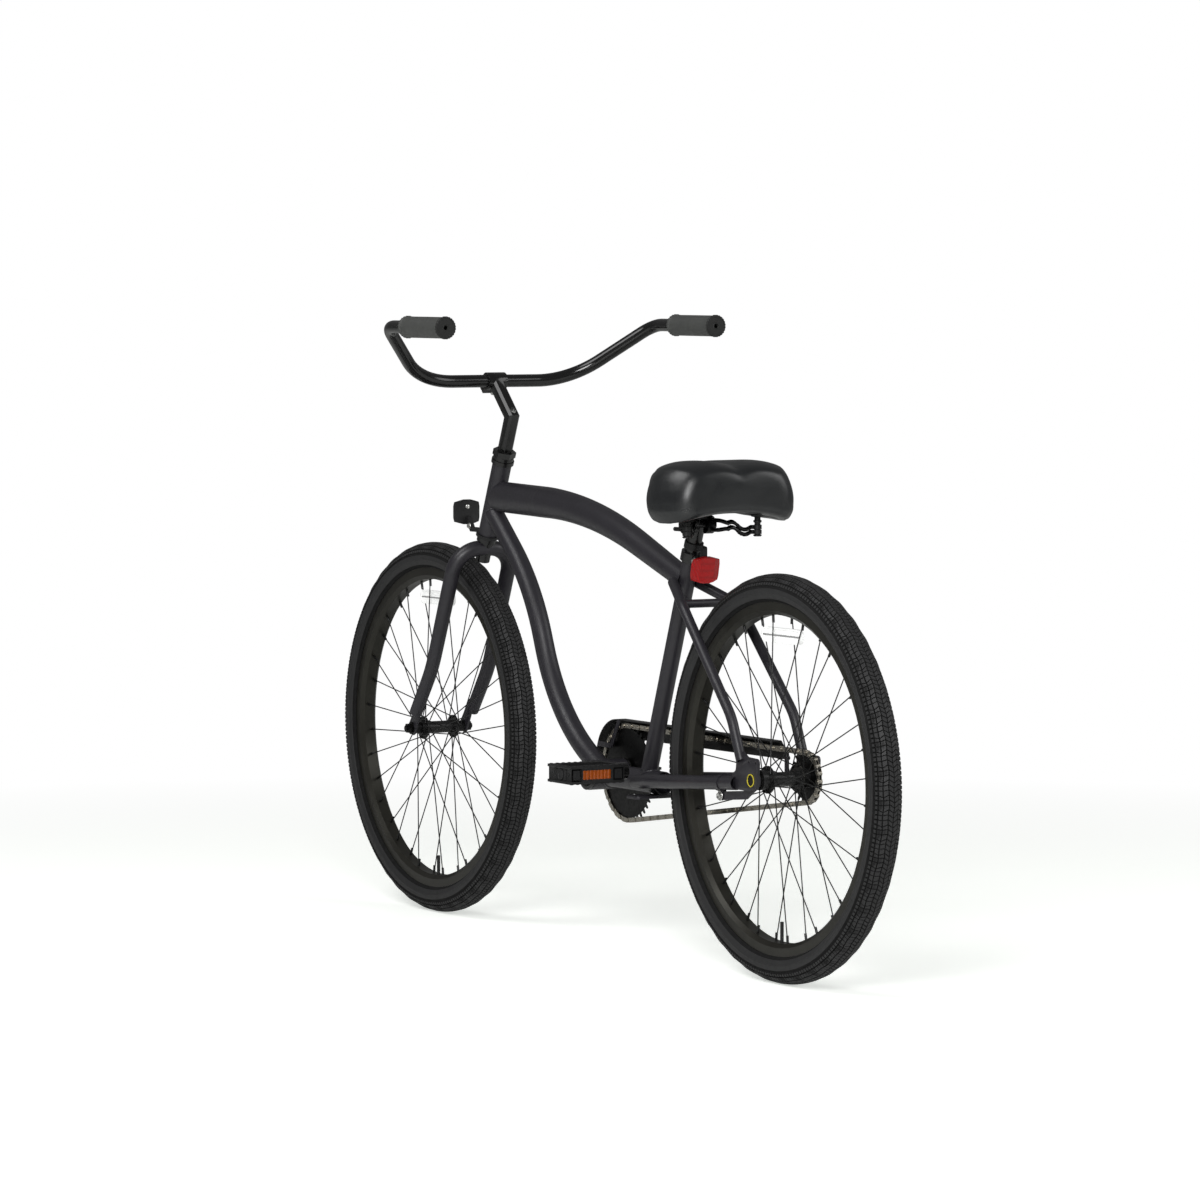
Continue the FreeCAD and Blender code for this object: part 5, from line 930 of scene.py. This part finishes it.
class CRUISER_OT_reflectors(Operator):
    """Makes the red rear reflector, the front one and the wheels' oval ones"""

    bl_idname = "cruiser.reflectors"
    bl_label = "Reflectors"

    def execute(self, context):
        dress(rear_lens(*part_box("rear_reflector")), "red_lens", "seat_post", "rear_reflector")
        for node, body in (("rear_spoke_reflector", "rear_wheel"), ("front_spoke_reflector", "front_wheel")):
            dress(oval_lens(node + "_lens", *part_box(node)), "clear_lens", body, node)
        low, high = box_of("front_reflector")
        seam = low.x + HOUSING_DEPTH
        housing = winged_block("front_housing", low, (seam, high.y, high.z), 0.0044)
        framed_face(housing, -AHEAD, 0.0016, -0.0008)
        close_up()
        rounded_off(housing, 0.0005, 2, 20.0)
        dress(housing, "pedal_plastic", "frame", "front_reflector")
        lens = box_piece("front_lens", Vector((seam, low.y, low.z)) + LENS_TRIM, high - LENS_TRIM)
        corner_rounds(lens, 0, high.x - seam, 0.006, 5)
        framed_face(lens, AHEAD, 0.0014, -0.0005)
        close_up()
        rounded_off(lens, 0.0006)
        dress(lens, "clear_lens", "frame")
        middle = Vector((low.x + 0.0010, 0.0, (low.z + high.z) / 2 + 0.009))
        screw = spun("housing_screw", HOUSING_SCREW, middle, AHEAD, 20, False)
        dress(shade(screw), "zinc_steel", "frame")
        seat = (low.x - 0.0138, BRACKET_HALF, low.z - 0.002)
        dress(hex_head("bracket_bolt_head", seat, 0.0042, 0.0036), "zinc_steel", "frame")
        return {"FINISHED"}


# Pedals
RIGHT_SHIFT = RIGHT_PEDAL - Vector((LEFT_PEDAL.x, -LEFT_PEDAL.y, LEFT_PEDAL.z))
RIB_DEPTH = 0.0016
CHANNEL_DEPTH = 0.0036
CHANNEL_HALF = 0.0105
TOOTH_COUNT = 9
TOOTH_PITCH = 0.0115
TILE_RIBS = 8
TILE_DEPTH = 0.003
SCREW_SIDE = 0.0245
END_BOSS = ((-0.001, 0.0102), (0.0010, 0.0102), (0.0016, 0.0094), (0.0016, 0.0066), (0.0008, 0.0060),
            (0.0008, 0.0))
END_SCREW = ((-0.001, 0.0034), (0.0008, 0.0034), (0.0014, 0.0028), (0.0014, 0.0014), (0.0005, 0.0011),
             (0.0005, 0.0))


def end_channel(pedal, centre, out):
    """Cuts a channel across the outer end of a pedal."""
    end = centre.y + out * PEDAL_HALF.y
    near, far = sorted((end - out * CHANNEL_DEPTH, end + out * CHANNEL_DEPTH))
    reach = Vector((PEDAL_HALF.x + CHANNEL_DEPTH, 0.0, CHANNEL_HALF))
    cutter = box_piece("cutter", Vector((centre.x, near, centre.z)) - reach,
                       Vector((centre.x, far, centre.z)) + reach)
    modifier(pedal, "BOOLEAN", object=cutter, operation="DIFFERENCE", solver="EXACT")
    bpy.data.objects.remove(cutter)


def ribbed_tile(name, low, high, ribs):
    """A reflector tile whose rear face has upright ribs."""
    pitch = (high.y - low.y) / ribs
    points = [(high.x, low.y, low.z), (low.x + RIB_DEPTH, low.y, low.z)]
    for rib in range(ribs):
        start = low.y + rib * pitch
        points += [(low.x, start + pitch * 0.3, low.z), (low.x, start + pitch * 0.7, low.z),
                   (low.x + RIB_DEPTH, start + pitch, low.z)]
    points.append((high.x, high.y, low.z))
    return shade(drawn_out(name, points, (0.0, 0.0, high.z - low.z)), 25.0)


def pedal_trim():
    """Grip teeth, face panels, end boss and screws of the left pedal."""
    centre, half = LEFT_PEDAL, PEDAL_HALF
    rear, inner, top = centre.x - half.x, centre.y - half.y, centre.z + half.z
    tooth = box_piece("pedal_trim", (rear + 0.0012, inner + 0.004, top - 0.001),
                      (rear + 0.0068, inner + 0.010, top + 0.0009))
    choose(tooth, "FACE", lambda place, normal: normal.z > 0.9)
    bpy.ops.transform.resize(value=(0.7, 0.62, 1.0), center_override=(rear + 0.004, inner + 0.007, top))
    shade(tooth)
    row = [tooth] + [twin(tooth, f"tooth_{i}", ACROSS * TOOTH_PITCH * i) for i in range(1, TOOTH_COUNT)]
    panel = box_piece("panel", (rear - 0.0008, centre.y + 0.0305, centre.z - 0.0105),
                      (rear + 0.001, centre.y + 0.0490, centre.z + 0.0105))
    framed_face(panel, -AHEAD, 0.0022, -0.0014)
    rounded_off(panel, 0.0004)
    row += [panel, mirrored(panel, "panel_inner", 1, centre)]
    strip = joined(row, "pedal_strip")
    strips = [strip, mirrored(strip, "strip_ahead", 0, centre)]
    under = [mirrored(each, each.name + "_low", 2, centre) for each in strips]
    end = centre + ACROSS * (half.y - CHANNEL_DEPTH)
    boss = shade(spun("boss", END_BOSS, end, ACROSS, 28, False))
    screw = shade(spun("screw", END_SCREW, end, ACROSS, 14, False))
    screws = [twin(screw, f"screw_{i}", AHEAD * SCREW_SIDE * i) for i in (-1.0, 1.0)]
    bpy.data.objects.remove(screw)
    slot = box_piece("slot", end + Vector((0.0125, -0.001, -0.0090)), end + Vector((0.0200, 0.0009, 0.0090)))
    framed_face(slot, ACROSS, 0.0012, -0.0016)
    rounded_off(slot, 0.0003)
    slots = [slot, mirrored(slot, "slot_behind", 0, centre)]
    return joined(strips + under + [boss] + screws + slots, "left_pedal_trim")


class CRUISER_OT_pedals(Operator):
    """Adds teeth, panels, screws and ribbed amber reflectors to the pedals"""

    bl_idname = "cruiser.pedals"
    bl_label = "Pedals"

    def execute(self, context):
        left = pedal_trim()
        right = mirrored(left, "right_pedal_trim", 1, shift=RIGHT_SHIFT)
        low, high = box_of("left_pedal_reflectors")
        tile = ribbed_tile("tile", low, Vector((low.x + TILE_DEPTH, high.y, high.z)), TILE_RIBS)
        tiles = joined([tile, mirrored(tile, "tile_ahead", 0, LEFT_PEDAL)], "left_pedal_tiles")
        others = mirrored(tiles, "right_pedal_tiles", 1, shift=RIGHT_SHIFT)
        for side, trim, lenses in (("left", left, tiles), ("right", right, others)):
            dress(trim, "pedal_plastic", side + "_pedal")
            dress(lenses, "amber_lens", side + "_pedal", side + "_pedal_reflectors")
        return {"FINISHED"}


# Saddle bumpers, bolts and the axle seal
ZINC_BOLTS = (
    ("collar_bolt_head", (-0.3208, 0.0071, 0.6720), 0.0050, 0.0046),
    ("strap_bolt_head", (-0.4843, 0.0566, 0.2995), 0.0060, 0.0042),
)
SADDLE_BOLT = ("saddle_bolt_head", (-0.318252, 0.0271, 0.732711), 0.0078, 0.0058)
SEAL_STEPS = 10
SEAL_SECTION = [(0.0603 + 0.0008 * math.sin(step * math.tau / SEAL_STEPS),
                 0.0097 + 0.0010 * math.cos(step * math.tau / SEAL_STEPS)) for step in range(SEAL_STEPS)]
BUMPER_EDGE = 0.007
BUMPER_STACK = (
    (0.7152, 0.0), (0.7152, 0.0058), (0.7164, 0.0070), (0.7180, 0.0070), (0.7186, 0.0052), (0.7191, 0.0052),
    (0.7194, 0.0070), (0.7260, 0.0070), (0.7264, 0.0054), (0.7270, 0.0054), (0.7273, 0.0070),
    (0.7340, 0.0070), (0.7346, 0.0050), (0.7376, 0.0050), (0.7386, 0.0068), (0.7416, 0.0068),
    (0.7426, 0.0050), (0.7468, 0.0050), (0.7478, 0.0100), (0.7496, 0.0115), (0.7530, 0.0115),
    (0.7558, 0.0092), (0.7564, 0.0))


def hex_head(name, centre, radius, height):
    """A hexagon bolt head along Y on a washer, from its seat outwards."""
    centre = Vector(centre)
    clear_selection()
    bpy.ops.mesh.primitive_cylinder_add(vertices=6, radius=radius, depth=height, location=ORIGIN)
    head = named(name)
    edit(head)
    bpy.ops.transform.rotate(value=math.radians(90.0), orient_axis="X", center_override=ORIGIN)
    bpy.ops.transform.translate(value=centre + ACROSS * height / 2)
    choose(head, "FACE", lambda place, normal: normal.y > 0.9)
    bpy.ops.mesh.inset(thickness=radius * 0.22, depth=0.0004)
    bpy.ops.mesh.inset(thickness=radius * 0.25, depth=-0.0005)
    close_up()
    rounded_off(head, 0.0003)
    rings = ((0.0, 0.5), (0.0, 1.28), (0.0004, 1.34), (0.0009, 1.28), (0.0009, 0.5))
    washer = spun(name + "_washer", [(along, radius * share) for along, share in rings], centre, ACROSS, 24)
    return joined([head, shade(washer)], name)


class CRUISER_OT_fittings(Operator):
    """Adds bolt heads, the axle's seal ring and the saddle's stacked bumpers"""

    bl_idname = "cruiser.fittings"
    bl_label = "Small fittings"

    def execute(self, context):
        for bolt in ZINC_BOLTS:
            dress(hex_head(*bolt), "zinc_steel", "frame")
        pinch = hex_head(*SADDLE_BOLT)
        nut = mirrored(pinch, "saddle_bolt_nut", 1)
        dress(joined([pinch, nut], "saddle_bolt_heads"), "black_steel", "saddle_clamp")
        seal = spun("axle_seal", SEAL_SECTION, REAR_AXLE, ACROSS, 40)
        dress(shade(seal), "seal_ring", "frame", slot="black_steel")
        low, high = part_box("saddle_bumpers")
        post = Vector(((low[0] + high[0]) / 2, high[1] - BUMPER_EDGE, 0.0))
        bumper = shade(spun("left_bumper", BUMPER_STACK, post, UP, 32, False), 40.0)
        pair = joined([bumper, mirrored(bumper, "right_bumper", 1)], "bumper_pair")
        dress(pair, "saddle_shell", "saddle", "saddle_bumpers")
        return {"FINISHED"}


# Welds
BEAD_STEPS = 32


def weld_ring(name, start, along, radius, root, axis, girth):
    """A bead where a tube meets another, drawn round the line where their skins cross."""
    along, axis = along.normalized(), axis.normalized()
    side = along.cross(axis).normalized()
    over = along.cross(side).normalized()
    points = []
    for step in range(BEAD_STEPS):
        turn = step / BEAD_STEPS * math.tau
        place = start + (side * math.cos(turn) + over * math.sin(turn)) * radius
        gap = place - root
        run = along - axis * along.dot(axis)
        away = gap - axis * gap.dot(axis)
        a, b, c = run.dot(run), 2.0 * run.dot(away), away.dot(away) - girth ** 2
        inside = max(0.0, b * b - 4.0 * a * c)
        points.append(place + along * (-b - math.sqrt(inside)) / (2.0 * a))
    take_up(outline(name, points))
    bpy.ops.object.convert(target="CURVE")
    bead = bpy.context.object
    bead.data.bevel_depth = sizes().bead_radius
    bead.data.bevel_resolution = 3
    bpy.ops.object.convert(target="MESH")
    bead = named(name)
    edit(bead)
    close_up()
    leave()
    return bead


class CRUISER_OT_welds(Operator):
    """Lays weld beads where the frame's tubes meet"""

    bl_idname = "cruiser.welds"
    bl_label = "Weld beads"

    def execute(self, context):
        throat = HEAD_FOOT + HEAD_UP * (HEAD_LOW - HEAD_FOOT).length + HEAD_UP * 0.046
        rise, fall = Vector((0.143, 0.0, 0.127)), Vector((-0.163, 0.0, -0.088))
        beads = [
            weld_ring("head_bead", throat - rise, rise, 0.0162, HEAD_LOW, HEAD_UP, 0.0170),
            weld_ring("seat_bead", SEAT_FOOT + SEAT_UP * 0.1, -SEAT_UP, 0.0143, SEAT_FOOT, AHEAD, 0.0195),
            weld_ring("shell_bead", SEAT_FOOT, AHEAD, 0.0195, BOTTOM_BRACKET, ACROSS, 0.0255),
            weld_ring("throat_bead", BOTTOM_BRACKET - fall, fall, 0.0180, BOTTOM_BRACKET, ACROSS, 0.0255),
        ]
        dress(shade(joined(beads, "frame_welds"), 60.0), "frame_paint", "frame")
        return {"FINISHED"}


# Stage
FLOOR_SIZE = 60.0
FLOOR_FADE = (1.5, 3.2)
FLOOR_LIFT = 0.53
FLOOR_LIFT_COLOUR = (0.97, 1.0, 0.965, 1.0)
SKY_LEVEL = 0.17
LIGHTS = (
    ("key_light", (-4.4, 3.2, 2.6), (-0.2, 0.0, 0.6), 2.4, 200.0),
    ("top_light", (0.2, 2.6, 4.0), (0.0, 0.0, 0.6), 2.6, 70.0),
    ("fill_light", (-3.0, -3.6, 2.6), (0.0, 0.0, 0.6), 3.0, 55.0),
)


def studio_paper():
    """Pale floor that fades to white far away and is lifted only where it is seen."""
    paper = Finish("studio_floor", (0.86, 0.87, 0.85), 0.9)
    paper.rough(paper.noise(3.0, 4.0), 0.85, 0.95)
    seen = paper.seen()
    away = paper.add("ShaderNodeVectorMath", {0: paper.coords}, operation="LENGTH").outputs["Value"]
    far = paper.span(away, 0.0, 1.0, *FLOOR_FADE)
    glow = paper.add("ShaderNodeEmission", {"Color": WHITE})
    lift = paper.add("ShaderNodeEmission", {
        "Color": FLOOR_LIFT_COLOUR, "Strength": paper.math("MULTIPLY", seen, FLOOR_LIFT)})
    both = paper.add("ShaderNodeAddShader", {0: paper.shader, 1: lift})
    mix = paper.add("ShaderNodeMixShader", {"Fac": paper.math("MULTIPLY", seen, far), 1: both, 2: glow})
    paper.feed(paper.surface, mix)
    return paper.material


def studio_sky():
    """White where it is seen, and a dim even light for everything else."""
    world = bpy.data.worlds.new("studio_sky")
    world.use_nodes = True
    sky = NodeTree(world.node_tree)
    level = sky.span(sky.seen(), SKY_LEVEL, 1.0, 0.0, 1.0)
    white = sky.add("ShaderNodeBackground", {"Color": WHITE, "Strength": level})
    sky.add("ShaderNodeOutputWorld", {"Surface": white})
    return world


class CRUISER_OT_stage(Operator):
    """Sets the pale floor, soft lights and the photograph's camera"""

    bl_idname = "cruiser.stage"
    bl_label = "Studio"

    def execute(self, context):
        clear_selection()
        bpy.ops.mesh.primitive_plane_add(size=FLOOR_SIZE, location=ORIGIN)
        floor = named("studio_floor")
        floor.data.materials.append(studio_paper())
        context.scene.world = studio_sky()
        for name, place, aim, width, power in LIGHTS:
            turn = (Vector(aim) - Vector(place)).to_track_quat("-Z", "Y").to_euler()
            bpy.ops.object.light_add(type="AREA", location=place, rotation=turn)
            lamp = bpy.context.object
            lamp.name = name
            lamp.data.shape = "DISK"
            lamp.data.size = width
            lamp.data.energy = power
        up = CAMERA_RIGHT.cross(CAMERA_AHEAD)
        turn = Matrix((CAMERA_RIGHT, up, -CAMERA_AHEAD)).transposed().to_euler()
        bpy.ops.object.camera_add(location=CAMERA_PLACE, rotation=turn)
        camera = bpy.context.object
        camera.name = "photo_camera"
        camera.data.sensor_width = CAMERA_SENSOR
        camera.data.lens = CAMERA_LENS
        camera.data.clip_end = CAMERA_REACH
        context.scene.camera = camera
        context.scene.view_settings.view_transform = "Standard"
        return {"FINISHED"}


class CRUISER_PT_panel(Panel):
    """Lists the cruiser's pieces and their sizes and colours"""

    bl_idname = "CRUISER_PT_panel"
    bl_label = "Cruiser"
    bl_space_type = "VIEW_3D"
    bl_region_type = "UI"
    bl_category = "Cruiser"

    def draw(self, context):
        for operator in OPERATORS:
            self.layout.operator(operator.bl_idname)
        for group in (sizes(), colours()):
            for name in group.__annotations__:
                self.layout.prop(group, name)


OPERATORS = (
    CRUISER_OT_finishes, CRUISER_OT_tyres, CRUISER_OT_grips, CRUISER_OT_saddle, CRUISER_OT_wires,
    CRUISER_OT_softened, CRUISER_OT_reflectors, CRUISER_OT_pedals, CRUISER_OT_fittings, CRUISER_OT_welds,
    CRUISER_OT_stage)
CLASSES = (CruiserSizes, CruiserColours) + OPERATORS + (CRUISER_PT_panel,)


def register():
    for each in CLASSES:
        bpy.utils.register_class(each)
    bpy.types.Scene.cruiser_sizes = PointerProperty(type=CruiserSizes)
    bpy.types.Scene.cruiser_colours = PointerProperty(type=CruiserColours)


def unregister():
    del bpy.types.Scene.cruiser_sizes
    del bpy.types.Scene.cruiser_colours
    for each in reversed(CLASSES):
        bpy.utils.unregister_class(each)


def main():
    register()
    bpy.ops.cruiser.finishes()
    bpy.ops.cruiser.tyres()
    bpy.ops.cruiser.grips()
    bpy.ops.cruiser.saddle()
    bpy.ops.cruiser.wires()
    bpy.ops.cruiser.softened()
    bpy.ops.cruiser.reflectors()
    bpy.ops.cruiser.pedals()
    bpy.ops.cruiser.fittings()
    bpy.ops.cruiser.welds()
    bpy.ops.cruiser.stage()


if __name__ == "__main__":
    main()
